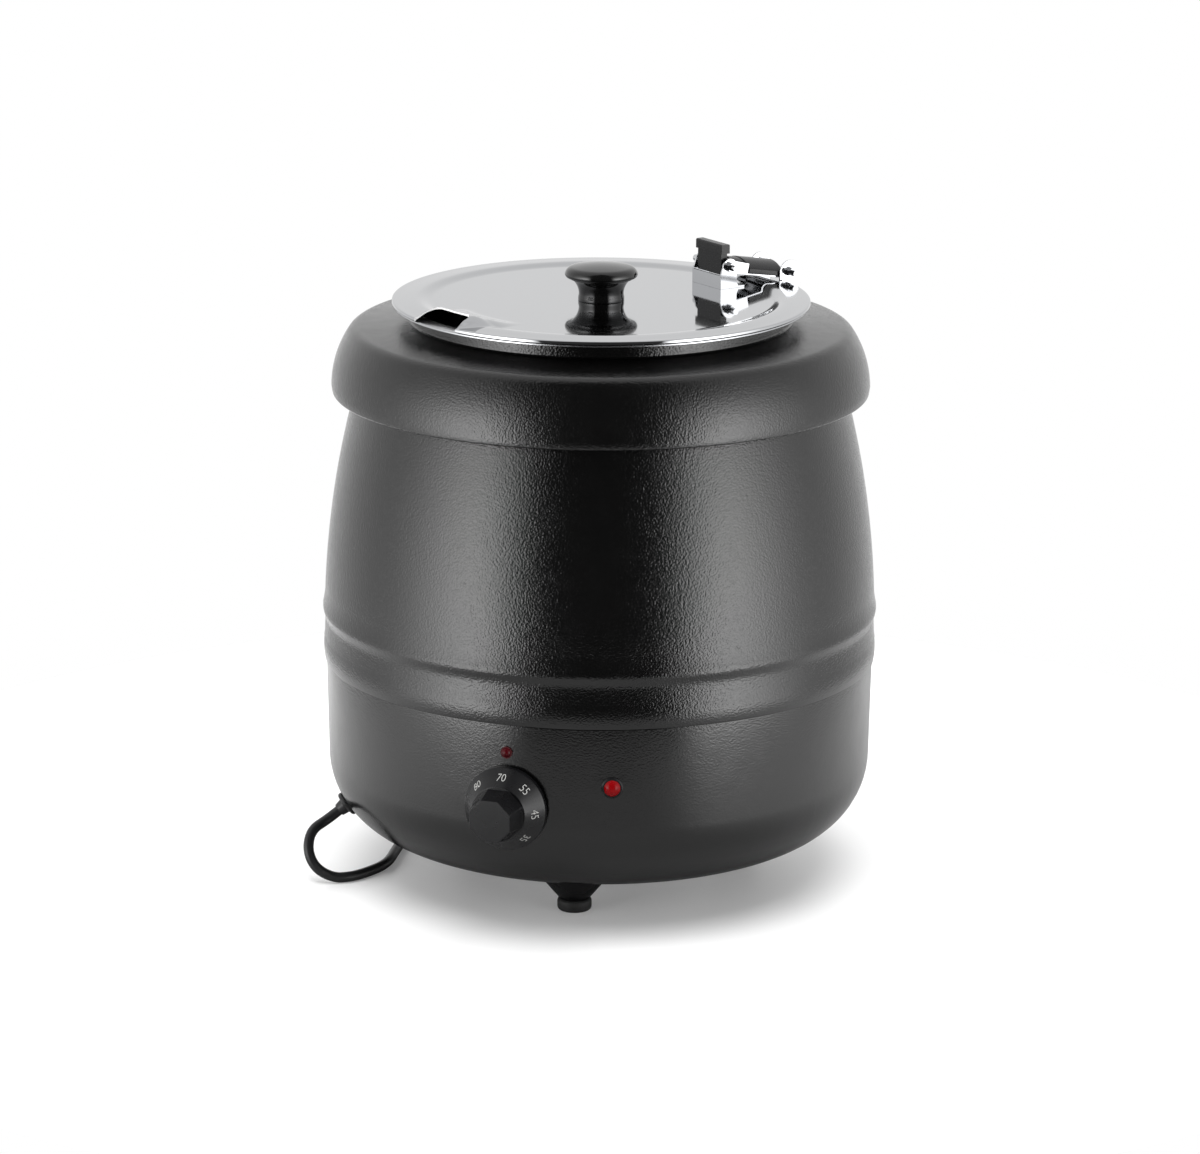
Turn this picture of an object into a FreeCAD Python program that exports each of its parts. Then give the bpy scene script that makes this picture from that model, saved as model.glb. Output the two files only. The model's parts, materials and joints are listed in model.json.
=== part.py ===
import FreeCAD, Part
import math
import os
import Sketcher
from FreeCAD import Placement, Rotation, Vector

# Electric soup kettle: a painted steel body on three feet, a water pan with a heater under it,
# a lift-out soup pot and a hinged lid with a ladle notch.
# Frame: origin on the floor under the kettle's axis, +Z up, -Y to the front, millimetres.

# Driving dimensions: the sheet holds each one under its own name.
SIZES = {
    # sheet thicknesses and fits
    "shell_wall": 1.2,
    "pot_wall": 1.0,
    "lid_wall": 1.0,
    "seat_gap": 0.3,
    "fit_gap": 0.15,
    "run_gap": 0.05,
    # feet
    "foot_circle": 94.0,
    "foot_top_radius": 24.5,
    "foot_tip_radius": 9.3,
    "pad_radius": 10.5,
    "pad_height": 7.5,
    "pad_edge": 2.0,
    "pad_plug_radius": 5.0,
    "pad_plug_length": 6.0,
    "foot_screw_radius": 2.5,
    "foot_screw_length": 12.0,
    # lower bowl
    "bowl_floor": 27.0,
    "bowl_corner": 49.0,
    "bowl_radius": 168.0,
    "bowl_flare": 1.2,
    "seam_height": 137.0,
    "seam_step": 0.7,
    "rim_overlap": 20.0,
    "vent_circle": 58.0,
    "vent_length": 30.0,
    "vent_width": 4.0,
    # barrel and its beaded skirt
    "skirt_radius": 170.2,
    "lower_bead_length": 15.0,
    "lower_bead_arc": 40.0,
    "upper_bead_start": 24.5,
    "upper_bead_length": 11.0,
    "upper_bead_arc": 26.0,
    "groove_length": 8.5,
    "groove_arc": 14.0,
    "groove_wall_share": 0.85,
    "barrel_radius": 169.6,
    "barrel_arc": 564.0,
    "barrel_top_radius": 138.3,
    # collar
    "collar_edge": 303.8,
    "collar_edge_radius": 164.4,
    "collar_lip_radius": 157.0,
    "collar_lip_round": 2.0,
    "collar_widest": 308.8,
    "collar_radius": 164.8,
    "collar_side_arc": 60.0,
    "shoulder_height": 340.6,
    "shoulder_radius": 154.6,
    "shoulder_lean": 34.0,
    "shoulder_arc": 9.0,
    "crease_height": 344.5,
    "crease_radius": 148.4,
    "neck_base": 348.2,
    "neck_radius": 116.0,
    "neck_fillet": 2.0,
    # water pan
    "pan_radius": 130.0,
    "pan_floor": 112.0,
    "pan_corner": 24.0,
    "pan_wall": 1.0,
    "pan_flange_radius": 145.0,
    # soup pot
    "pot_radius": 113.0,
    "pot_floor": 121.0,
    "pot_corner": 18.0,
    "pot_flange_height": 357.5,
    "pot_flange_radius": 126.4,
    "pot_flange_corner": 5.0,
    "pot_flange_drop": 0.4,
    # lid
    "lid_radius": 127.6,
    "lid_lip": 2.0,
    "lid_edge_round": 0.7,
    "lid_step_radius": 109.4,
    "lid_rise": 0.6,
    "lid_disc_radius": 106.5,
    "lid_disc_drop": 1.1,
    "notch_depth": 17.3,
    "notch_mouth": 41.8,
    "notch_inner": 36.0,
    "notch_corner": 7.0,
    "notch_lip": 4.3,
    "notch_lean": 4.0,
    "cutout_depth": 15.3,
    "cutout_width": 36.0,
    # lid knob
    "knob_foot_radius": 14.1,
    "knob_waist_radius": 13.7,
    "knob_waist_height": 4.0,
    "knob_flare_arc": 11.5,
    "knob_flare_radius": 18.6,
    "knob_flare_height": 13.4,
    "knob_ridge": 1.0,
    "knob_radius": 22.3,
    "knob_rim_height": 16.3,
    "knob_rim_arc": 5.0,
    "knob_crown_radius": 18.2,
    "knob_crown_height": 20.6,
    "knob_height": 22.3,
    "knob_screw_radius": 2.0,
    "knob_screw_length": 11.0,
    # lid hinge
    "hinge_angle": 43.0,
    "front_pin_reach": 85.6,
    "front_pin_height": 13.4,
    "rear_pin_reach": 130.8,
    "rear_pin_height": 4.5,
    "pin_radius": 2.0,
    "pin_end": 4.0,
    "nut_flats": 5.5,
    "nut_height": 2.6,
    "bracket_width": 30.4,
    "bracket_wall": 1.2,
    "bracket_front": 7.0,
    "bracket_tail": 11.0,
    "bracket_front_wall": 8.5,
    "bracket_ear_radius": 5.2,
    "rivet_radius": 1.6,
    "rivet_head_radius": 2.8,
    "rivet_head_height": 1.0,
    "rivet_reach": 93.2,
    "rivet_spacing": 14.0,
    "arm_width": 27.4,
    "arm_wall": 1.0,
    "arm_lobe_radius": 4.2,
    "arm_cheek_length": 15.4,
    "arm_strip_top": 1.2,
    "arm_web_margin": 8.8,
    "cover_width": 29.2,
    "cover_crown": 5.5,
    "cover_skirt": 3.2,
    "cover_wall": 1.1,
    "cover_step": 0.4,
    "cover_start": 6.5,
    "cover_end_gap": 4.5,
    "clip_width": 32.4,
    "clip_wall": 1.2,
    "clip_ear_radius": 7.7,
    "clip_lip_reach": 121.5,
    "tab_width": 24.8,
    "tab_wall": 4.4,
    "tab_hub_radius": 4.8,
    "tab_top": 27.5,
    "tab_head_width": 27.6,
    "tab_head_height": 5.8,
    "tab_head_step": 1.0,
    "tab_slot": 15.0,
    "spring_wire": 0.8,
    "spring_radius": 3.0,
    "spring_turns": 8.0,
    "spring_pitch": 1.35,
    # dial and thermostat
    "dial_angle": 260.0,
    "dial_height": 86.0,
    "dial_clearance": 0.7,
    "dial_radius": 25.5,
    "dial_rim": 3.4,
    "dial_rim_chamfer": 0.8,
    "dial_cone_height": 15.0,
    "dial_cone_radius": 16.8,
    "dial_grip_flats": 30.6,
    "dial_grip_height": 30.0,
    "dial_grip_taper": 9.5,
    "dial_recess_radius": 22.5,
    "dial_recess_depth": 4.0,
    "dial_boss_radius": 6.0,
    "dial_boss_gap": 1.0,
    "dial_web": 1.5,
    "dial_bore_depth": 20.0,
    "shaft_radius": 3.0,
    "shaft_hole_radius": 5.5,
    "thermostat_width": 34.0,
    "thermostat_depth": 34.0,
    "thermostat_plate_wall": 1.6,
    "thermostat_plate_height": 32.0,
    "thermostat_setback": 2.7,
    "thermostat_bore_depth": 20.0,
    "thermostat_screw_spacing": 22.0,
    "thermostat_screw_radius": 2.0,
    "thermostat_screw_head": 3.4,
    # lamp and dial pointer light
    "lamp_angle": 281.5,
    "lamp_height": 101.0,
    "lamp_flange_radius": 6.4,
    "lamp_flange_wall": 1.4,
    "lamp_barrel_radius": 5.7,
    "lamp_barrel_length": 9.0,
    "lamp_lens_radius": 4.9,
    "lamp_lens_crown": 2.6,
    "lamp_body_length": 18.0,
    "lamp_blade_wall": 0.8,
    "lamp_blade_width": 4.0,
    "lamp_blade_length": 8.0,
    "pointer_height": 120.0,
    "pointer_radius": 3.0,
    "pointer_collar": 0.8,
    "pointer_crown": 2.4,
    "pointer_length": 12.0,
    # heater and the tie that holds the body together
    "heater_plate_radius": 92.0,
    "heater_plate_wall": 4.0,
    "element_ring": 68.0,
    "element_radius": 4.2,
    "element_sweep": 330.0,
    "element_leg": 22.0,
    "clamp_bar_length": 160.0,
    "clamp_bar_width": 22.0,
    "clamp_bar_wall": 2.5,
    "stud_radius": 4.0,
    "tie_nut_flats": 13.0,
    "tie_nut_height": 6.5,
    "tie_washer_radius": 12.0,
    "tie_washer_wall": 1.6,
    "stud_end": 3.0,
    "cutout_switch_radius": 8.0,
    "cutout_switch_height": 7.0,
    "cutout_switch_reach": 34.0,
    "terminal_length": 34.0,
    "terminal_width": 20.0,
    "terminal_height": 16.0,
    "terminal_reach": 78.0,
    "terminal_angle": 215.0,
    # cord
    "cord_radius": 3.2,
    "gland_angle": 198.0,
    "gland_tilt": 38.5,
    "gland_neck_radius": 5.8,
    "gland_flange_radius": 8.0,
    "gland_flange_wall": 2.5,
    "gland_snap_gap": 0.8,
    "gland_nozzle_radius": 4.8,
    "gland_nozzle_tip": 4.0,
    "gland_nozzle_length": 5.0,
    "gland_tail": 8.0,
    "coil_x": -20.0,
    "coil_y": 255.0,
    "coil_radius": 46.0,
    "coil_pitch": 7.0,
    "coil_layer": 7.0,
    "plug_x": 62.0,
    "plug_y": 303.0,
    "plug_radius": 18.5,
    "plug_length": 50.0,
    "plug_neck_radius": 6.0,
    "plug_neck_length": 14.0,
    "plug_face_length": 20.0,
    "plug_pin_radius": 2.4,
    "plug_pin_length": 19.0,
    "plug_pin_spacing": 19.0,
}

FOOT_COUNT = 3
VENT_COUNT = 8
COIL_TURNS = 3


class Size:
    """A number together with the sheet formula that gives it."""

    def __init__(self, value, text):
        self.value = value
        self.text = text

    def __add__(self, other):
        other = as_size(other)
        return Size(self.value + other.value, f"({self.text} + {other.text})")

    def __sub__(self, other):
        other = as_size(other)
        return Size(self.value - other.value, f"({self.text} - {other.text})")

    def __mul__(self, other):
        other = as_size(other)
        return Size(self.value * other.value, f"({self.text} * {other.text})")

    def __truediv__(self, other):
        other = as_size(other)
        return Size(self.value / other.value, f"({self.text} / {other.text})")

    def __neg__(self):
        return Size(-self.value, f"(0 - {self.text})")

    def __radd__(self, other):
        return as_size(other) + self

    def __rsub__(self, other):
        return as_size(other) - self

    def __rmul__(self, other):
        return as_size(other) * self


def as_size(item):
    return item if isinstance(item, Size) else Size(float(item), f"({float(item)})")


def sine(angle):
    angle = as_size(angle)
    return Size(math.sin(math.radians(angle.value)), f"sin({angle.text})")


def cosine(angle):
    angle = as_size(angle)
    return Size(math.cos(math.radians(angle.value)), f"cos({angle.text})")


def tangent(angle):
    return sine(angle) / cosine(angle)


def root(item):
    return Size(math.sqrt(item.value), f"sqrt({item.text})")


def larger(first, second):
    return Size(max(first.value, second.value), f"max({first.text}; {second.text})")


def smaller(first, second):
    return Size(min(first.value, second.value), f"min({first.text}; {second.text})")


def dome_arc(radius, rise):
    """Radius of the ball that rises this much over a round base."""
    return (radius * radius + rise * rise) / (rise * 2)


def slope(rise, run):
    """Angle in degrees of a line that rises this much over this run."""
    value = math.degrees(math.atan2(rise.value, run.value))
    return Size(value, f"atan2({rise.text}; {run.text})")


document = FreeCAD.newDocument("soup_kettle")
sheet = document.addObject("Spreadsheet::Sheet", "Sizes")
for row, (alias, number) in enumerate(SIZES.items(), start=1):
    sheet.set(f"A{row}", alias)
    sheet.set(f"B{row}", str(number))
    sheet.setAlias(f"B{row}", alias)
document.recompute()


class Dimensions:
    """Looks up a driving dimension of the sheet by its name."""

    def __getattr__(self, name):
        return Size(float(sheet.get(name)), f"Sizes.{name}")


dim = Dimensions()
nodes = []


# Placements as sheet formulas

class Step:
    """A turn or a shift, as a sheet formula and as a placement."""

    def __init__(self, text, placement):
        self.text = text
        self.placement = placement


def shift(x, y, z):
    x, y, z = as_size(x), as_size(y), as_size(z)
    text = f"placement(vector({x.text}; {y.text}; {z.text}); rotation(vector(0; 0; 1); 0))"
    return Step(text, Placement(Vector(x.value, y.value, z.value), Rotation()))


def turn(axis, angle):
    angle = as_size(angle)
    vector = {"x": (1, 0, 0), "y": (0, 1, 0), "z": (0, 0, 1)}[axis]
    text = "placement(vector(0; 0; 0); rotation(vector({}; {}; {}); {}))".format(*vector, angle.text)
    return Step(text, Placement(Vector(), Rotation(Vector(*vector), angle.value)))


def formula_of(steps):
    return " * ".join(step.text for step in steps)


def placement_of(steps):
    result = Placement()
    for step in steps:
        result = result * step.placement
    return result


def place(item, *steps):
    item.Placement = placement_of(steps)
    item.setExpression("Placement", formula_of(steps))


# Bodies, sketches and features

def keep(item):
    """Hand a finished sub-part to the assembly."""
    nodes.append(item)
    return item


def new_body(label, *steps):
    body = document.addObject("PartDesign::Body", label)
    body.Label = label
    if steps:
        place(body, *steps)
    return body


def origin_of(body, role):
    return next(item for item in body.Origin.OriginFeatures if item.Role == role)


def new_sketch(body, plane, *steps):
    sketch = body.newObject("Sketcher::SketchObject", body.Name + "_outline")
    sketch.AttachmentSupport = [(origin_of(body, plane), "")]
    sketch.MapMode = "FlatFace"
    if steps:
        sketch.AttachmentOffset = placement_of(steps)
        sketch.setExpression("AttachmentOffset", formula_of(steps))
    return sketch


def left(radius):
    return ("left", as_size(radius))


def right(radius):
    return ("right", as_size(radius))


def arc_between(start, end, radius, side):
    """Arc from start to end that turns to the given side, and whether it is drawn backwards."""
    chord = end - start
    height = math.sqrt(max(radius ** 2 - (chord.Length / 2) ** 2, 0.0))
    normal = Vector(-chord.y, chord.x, 0) / chord.Length
    centre = (start + end) / 2 + normal * (height if side == "left" else -height)
    first, last = (start, end) if side == "left" else (end, start)
    angles = [math.atan2(point.y - centre.y, point.x - centre.x) for point in (first, last)]
    circle = Part.Circle(centre, Vector(0, 0, 1), radius)
    return Part.ArcOfCircle(circle, *angles), side == "right"


def bind(sketch, constraints, formulas):
    indices = sketch.addConstraint(constraints)
    for index, formula in zip(indices, formulas):
        if formula:
            sketch.setExpression(f"Constraints[{index}]", formula)


def outline(sketch, path):
    """Closed outline: points (x, y), with left(r) or right(r) between two points for an arc."""
    points = []
    bends = {}
    for item in path:
        if item[0] in ("left", "right"):
            bends[len(points) - 1] = item
        else:
            points.append((as_size(item[0]), as_size(item[1])))
    spots = [Vector(x.value, y.value, 0) for x, y in points]
    base = sketch.GeometryCount
    edges = []
    backwards = []
    for index, spot in enumerate(spots):
        following = spots[(index + 1) % len(spots)]
        if index in bends:
            side, radius = bends[index]
            edge, flipped = arc_between(spot, following, radius.value, side)
        else:
            edge, flipped = Part.LineSegment(spot, following), False
        edges.append(edge)
        backwards.append(flipped)
    sketch.addGeometry(edges)
    constraints = []
    formulas = []
    for index, (x, y) in enumerate(points):
        before = index - 1 if index else len(points) - 1
        start = 2 if backwards[index] else 1
        end = 1 if backwards[before] else 2
        constraints.append(Sketcher.Constraint("Coincident", base + before, end, base + index, start))
        constraints.append(Sketcher.Constraint("DistanceX", base + index, start, x.value))
        constraints.append(Sketcher.Constraint("DistanceY", base + index, start, y.value))
        formulas += [None, x.text, y.text]
        if index in bends:
            radius = bends[index][1]
            constraints.append(Sketcher.Constraint("Radius", base + index, radius.value))
            formulas.append(radius.text)
    bind(sketch, constraints, formulas)
    return sketch


def circle(sketch, x, y, radius):
    x, y, radius = as_size(x), as_size(y), as_size(radius)
    index = sketch.addGeometry(Part.Circle(Vector(x.value, y.value, 0), Vector(0, 0, 1), radius.value))
    constraints = [
        Sketcher.Constraint("DistanceX", index, 3, x.value),
        Sketcher.Constraint("DistanceY", index, 3, y.value),
        Sketcher.Constraint("Radius", index, radius.value),
    ]
    bind(sketch, constraints, [x.text, y.text, radius.text])
    return sketch


def rectangle(sketch, low_x, low_y, high_x, high_y):
    return outline(sketch, [(low_x, low_y), (high_x, low_y), (high_x, high_y), (low_x, high_y)])


def polygon(sketch, sides, flats):
    """Regular polygon about the sketch's origin, with two flats square to its X axis."""
    step = 360 / sides
    corner = flats / (2 * cosine(step / 2))
    angles = [step * (index + 0.5) for index in range(sides)]
    return outline(sketch, [(corner * cosine(angle), corner * sine(angle)) for angle in angles])


def revolve(sketch, axis="V_Axis", angle=360):
    body = sketch.getParentGeoFeatureGroup()
    angle = as_size(angle)
    feature = body.newObject("PartDesign::Revolution", body.Name + "_turned")
    feature.Profile = sketch
    feature.ReferenceAxis = (sketch, [axis])
    feature.Angle = angle.value
    feature.setExpression("Angle", angle.text)
    return feature


def extrude(kind, sketch, length, both=False, flipped=False):
    body = sketch.getParentGeoFeatureGroup()
    length = as_size(length)
    feature = body.newObject("PartDesign::" + kind, f"{body.Name}_{kind.lower()}")
    feature.Profile = sketch
    feature.Length = length.value
    feature.setExpression("Length", length.text)
    feature.SideType = "Symmetric" if both else "One side"
    feature.Reversed = flipped
    return feature


def pad(sketch, length, both=False, flipped=False):
    return extrude("Pad", sketch, length, both, flipped)


def pocket(sketch, length, both=False, flipped=False):
    """Cut a sketch out of its body, against the sketch's normal unless flipped."""
    return extrude("Pocket", sketch, length, both, flipped)


def polar(feature, count):
    body = feature.getParentGeoFeatureGroup()
    pattern = body.newObject("PartDesign::PolarPattern", body.Name + "_ring")
    pattern.Originals = [feature]
    pattern.Axis = (origin_of(body, "Z_Axis"), [""])
    pattern.Angle = 360
    pattern.Occurrences = count
    body.Tip = pattern
    return pattern


def mirrored(feature, plane="XZ_Plane"):
    body = feature.getParentGeoFeatureGroup()
    mirror = body.newObject("PartDesign::Mirrored", body.Name + "_pair")
    mirror.Originals = [feature]
    mirror.MirrorPlane = (origin_of(body, plane), [""])
    body.Tip = mirror
    return mirror


def shape_node(label, shape):
    """Sub-part whose shape is swept along a path that no sketch plane holds."""
    feature = document.addObject("Part::Feature", label)
    feature.Label = label
    feature.Shape = shape
    feature.Placement = Placement()
    return keep(feature)


# Heights and radii that several pieces share

corner_top = dim.bowl_floor + dim.bowl_corner
corner_centre = dim.bowl_radius - dim.bowl_corner
seam_radius = dim.bowl_radius + dim.bowl_flare
skirt_bore = dim.skirt_radius - dim.shell_wall
rim_radius = skirt_bore - dim.fit_gap
bowl_rim = dim.seam_height + dim.rim_overlap
bowl_inside = dim.bowl_floor + dim.shell_wall
barrel_start = dim.seam_height + dim.upper_bead_start + dim.upper_bead_length + dim.groove_length
neck_bore = dim.neck_radius - dim.shell_wall
pot_corner_reach = dim.pot_radius + dim.pot_flange_corner
neck_drop = pot_corner_reach - neck_bore
neck_top = (
    dim.pot_flange_height - dim.pot_flange_corner - dim.fit_gap
    + root(dim.pot_flange_corner * dim.pot_flange_corner - neck_drop * neck_drop)
)
pot_flange_top = dim.pot_flange_height + dim.pot_wall
pot_lip_bottom = dim.pot_flange_height - dim.pot_flange_drop
lid_bottom = pot_flange_top + dim.seat_gap
lid_edge = lid_bottom + dim.lid_lip
disc_top = lid_edge - dim.lid_disc_drop
disc_bottom = disc_top - dim.lid_wall
front_pin_z = disc_top + dim.front_pin_height
rear_pin_z = lid_edge + dim.rear_pin_height
heater_bottom = dim.pan_floor - dim.heater_plate_wall
element_z = heater_bottom - dim.element_radius - dim.fit_gap
clamp_top = element_z - dim.element_radius - dim.fit_gap
clamp_bottom = clamp_top - dim.clamp_bar_wall


def wall_radius(height):
    """Outer radius of the bowl's wall between its corner and the seam."""
    return dim.bowl_radius + dim.bowl_flare * (height - corner_top) / (dim.seam_height - corner_top)


def cone_height(radius):
    """Height of the collar's gently sloping top at a radius."""
    fall = (dim.neck_base - dim.crease_height) / (dim.crease_radius - dim.neck_radius)
    return dim.neck_base - (radius - dim.neck_radius) * fall


def pan_flange_top(radius):
    return cone_height(radius) - dim.shell_wall - dim.fit_gap


def pan_flange_bottom(radius):
    return pan_flange_top(radius) - dim.pan_wall


barrel_top = pan_flange_bottom(dim.barrel_top_radius) - dim.fit_gap
dial_wall = wall_radius(dim.dial_height)
dial_back = dial_wall + dim.dial_clearance
lamp_wall = wall_radius(dim.lamp_height)
pointer_wall = wall_radius(dim.pointer_height)
plate_front = dial_wall - dim.thermostat_setback

# Frames that the pieces are drawn in: X points outwards from the kettle's axis
HINGE = [turn("z", dim.hinge_angle)]
DIAL = [turn("z", dim.dial_angle), shift(0, 0, dim.dial_height)]
LAMP = [turn("z", dim.lamp_angle), shift(0, 0, dim.lamp_height)]
POINTER = [turn("z", dim.dial_angle), shift(0, 0, dim.pointer_height)]
GLAND = [
    turn("z", dim.gland_angle),
    shift(corner_centre, 0, corner_top),
    turn("y", dim.gland_tilt),
]


# Painted body

def bowl_hole(body, angle, height, radius, offset=0):
    """Round hole through the bowl's wall, square to the kettle's axis."""
    sketch = new_sketch(body, "YZ_Plane", turn("y", angle))
    circle(sketch, offset, height, radius)
    return pocket(sketch, dim.skirt_radius + dim.bowl_corner, flipped=True)


def make_lower_bowl():
    body = new_body("lower_bowl")
    wall = dim.shell_wall
    seam_low = dim.seam_height - dim.seam_step
    seam_high = dim.seam_height + dim.seam_step
    sketch = outline(new_sketch(body, "XZ_Plane"), [
        (0, dim.bowl_floor),
        (corner_centre, dim.bowl_floor), left(dim.bowl_corner),
        (dim.bowl_radius, corner_top),
        (seam_radius, seam_low),
        (rim_radius, seam_high),
        (rim_radius, bowl_rim),
        (rim_radius - wall, bowl_rim),
        (rim_radius - wall, seam_high),
        (seam_radius - wall, seam_low),
        (dim.bowl_radius - wall, corner_top), right(dim.bowl_corner - wall),
        (corner_centre, bowl_inside),
        (0, bowl_inside),
    ])
    revolve(sketch)
    floor = dim.bowl_floor + dim.bowl_corner
    stud_hole = circle(new_sketch(body, "XY_Plane"), 0, 0, dim.stud_radius + dim.seat_gap)
    pocket(stud_hole, floor, flipped=True)
    screw_bore = dim.foot_screw_radius + dim.fit_gap
    screw_hole = circle(new_sketch(body, "XY_Plane"), 0, -dim.foot_circle, screw_bore)
    polar(pocket(screw_hole, floor, flipped=True), FOOT_COUNT)
    half_width = dim.vent_width / 2
    inner = dim.vent_circle - dim.vent_length / 2
    outer = dim.vent_circle + dim.vent_length / 2
    vent = outline(new_sketch(body, "XY_Plane", turn("z", 22.5)), [
        (inner, half_width), left(half_width * 1.001),
        (inner, -half_width),
        (outer, -half_width), left(half_width * 1.001),
        (outer, half_width),
    ])
    polar(pocket(vent, floor, flipped=True), VENT_COUNT)
    bowl_hole(body, dim.dial_angle, dim.dial_height, dim.shaft_hole_radius)
    for side in (1, -1):
        height = dim.dial_height + dim.thermostat_screw_spacing / 2 * side
        bowl_hole(body, dim.dial_angle, height, dim.thermostat_screw_radius + dim.fit_gap)
    bowl_hole(body, dim.lamp_angle, dim.lamp_height, dim.lamp_barrel_radius + dim.fit_gap)
    bowl_hole(body, dim.dial_angle, dim.pointer_height, dim.pointer_radius + dim.fit_gap)
    gland_steps = [
        turn("y", dim.gland_angle),
        shift(0, corner_top, corner_centre),
        turn("x", dim.gland_tilt),
    ]
    gland_hole = new_sketch(body, "YZ_Plane", *gland_steps)
    circle(gland_hole, 0, 0, dim.gland_neck_radius + dim.fit_gap)
    pocket(gland_hole, dim.bowl_corner * 1.5, flipped=True)
    return keep(body)


def make_barrel_shell():
    body = new_body("barrel_shell")
    wall = dim.shell_wall
    seam = dim.seam_height
    upper = seam + dim.upper_bead_start
    upper_end = upper + dim.upper_bead_length
    step_top = upper + dim.upper_bead_length / 2
    # The groove's arc is never deeper than the wall behind it
    slant = dim.barrel_radius - dim.skirt_radius
    span = slant * slant + dim.groove_length * dim.groove_length
    groove_depth = wall * dim.groove_wall_share * dim.groove_length / root(span)
    groove_arc = larger(dim.groove_arc, span / (groove_depth * 8) + groove_depth / 2)
    groove_bore = smaller(dim.barrel_radius, dim.skirt_radius) - wall
    sketch = outline(new_sketch(body, "XZ_Plane"), [
        (skirt_bore, seam),
        (dim.skirt_radius, seam), left(dim.lower_bead_arc),
        (dim.skirt_radius, seam + dim.lower_bead_length),
        (dim.skirt_radius, upper), left(dim.upper_bead_arc),
        (dim.skirt_radius, upper_end), right(groove_arc),
        (dim.barrel_radius, barrel_start), left(dim.barrel_arc),
        (dim.barrel_top_radius, barrel_top),
        (dim.barrel_top_radius - wall, barrel_top), right(dim.barrel_arc - wall),
        (dim.barrel_radius - wall, barrel_start),
        (groove_bore, upper_end),
        (skirt_bore, step_top),
    ])
    revolve(sketch)
    return keep(body)


def make_top_collar():
    body = new_body("top_collar")
    wall = dim.shell_wall
    lip_round = dim.collar_lip_round
    lip_in = dim.collar_edge_radius - lip_round
    lean_x = dim.shoulder_radius - wall * cosine(dim.shoulder_lean)
    lean_z = dim.shoulder_height - wall * sine(dim.shoulder_lean)
    fillet_reach = dim.neck_radius + dim.neck_fillet
    sketch = outline(new_sketch(body, "XZ_Plane"), [
        (dim.collar_lip_radius, dim.collar_edge),
        (lip_in, dim.collar_edge), left(lip_round),
        (dim.collar_edge_radius, dim.collar_edge + lip_round),
        (dim.collar_radius, dim.collar_widest), left(dim.collar_side_arc),
        (dim.shoulder_radius, dim.shoulder_height), left(dim.shoulder_arc),
        (dim.crease_radius, dim.crease_height),
        (fillet_reach, cone_height(fillet_reach)), right(dim.neck_fillet),
        (dim.neck_radius, dim.neck_base + dim.neck_fillet),
        (dim.neck_radius, neck_top),
        (neck_bore, neck_top),
        (neck_bore, cone_height(neck_bore) - wall),
        (dim.crease_radius, dim.crease_height - wall), right(dim.shoulder_arc - wall),
        (lean_x, lean_z), right(dim.collar_side_arc - wall),
        (dim.collar_radius - wall, dim.collar_widest),
        (dim.collar_edge_radius - wall, dim.collar_edge + lip_round), right(lip_round - wall),
        (lip_in, dim.collar_edge + wall),
        (dim.collar_lip_radius, dim.collar_edge + wall),
    ])
    revolve(sketch)
    return keep(body)


# Feet

def make_foot(index):
    angle = index * 360 / FOOT_COUNT - 90
    steps = [turn("z", angle), shift(dim.foot_circle, 0, 0)]
    plug_top = dim.pad_height + dim.pad_plug_length
    plug_bore = dim.pad_plug_radius + dim.run_gap
    screw_bore = dim.foot_screw_radius + dim.run_gap
    foot = new_body(f"foot_{index + 1}", *steps)
    foot_edge = dim.pad_edge / 2
    revolve(outline(new_sketch(foot, "XZ_Plane"), [
        (plug_bore, dim.pad_height + dim.fit_gap),
        (dim.foot_tip_radius, dim.pad_height + dim.fit_gap),
        (dim.foot_top_radius, dim.bowl_floor - foot_edge),
        (dim.foot_top_radius, dim.bowl_floor),
        (screw_bore, dim.bowl_floor),
        (screw_bore, plug_top + dim.fit_gap),
        (plug_bore, plug_top + dim.fit_gap),
    ]))
    keep(foot)
    foot_pad = new_body(f"foot_pad_{index + 1}", *steps)
    edge = dim.pad_edge
    revolve(outline(new_sketch(foot_pad, "XZ_Plane"), [
        (0, 0),
        (dim.pad_radius - edge, 0), left(edge),
        (dim.pad_radius, edge),
        (dim.pad_radius, dim.pad_height - edge), left(edge),
        (dim.pad_radius - edge, dim.pad_height),
        (dim.pad_plug_radius, dim.pad_height),
        (dim.pad_plug_radius, plug_top),
        (0, plug_top),
    ]))
    keep(foot_pad)


def make_foot_screws():
    body = new_body("foot_screws")
    head = dim.foot_screw_radius * 2
    head_top = bowl_inside + dim.foot_screw_radius * 1.4
    sketch = outline(new_sketch(body, "XZ_Plane", shift(dim.foot_circle, 0, 0)), [
        (0, dim.bowl_floor - dim.foot_screw_length),
        (dim.foot_screw_radius, dim.bowl_floor - dim.foot_screw_length),
        (dim.foot_screw_radius, bowl_inside),
        (head, bowl_inside),
        (head, bowl_inside + dim.foot_screw_radius * 0.6), left(head * 0.6),
        (head * 0.55, head_top),
        (0, head_top),
    ])
    polar(revolve(sketch), FOOT_COUNT)
    place(body, turn("z", -90))
    return keep(body)


# Water pan, heater and tie

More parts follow.
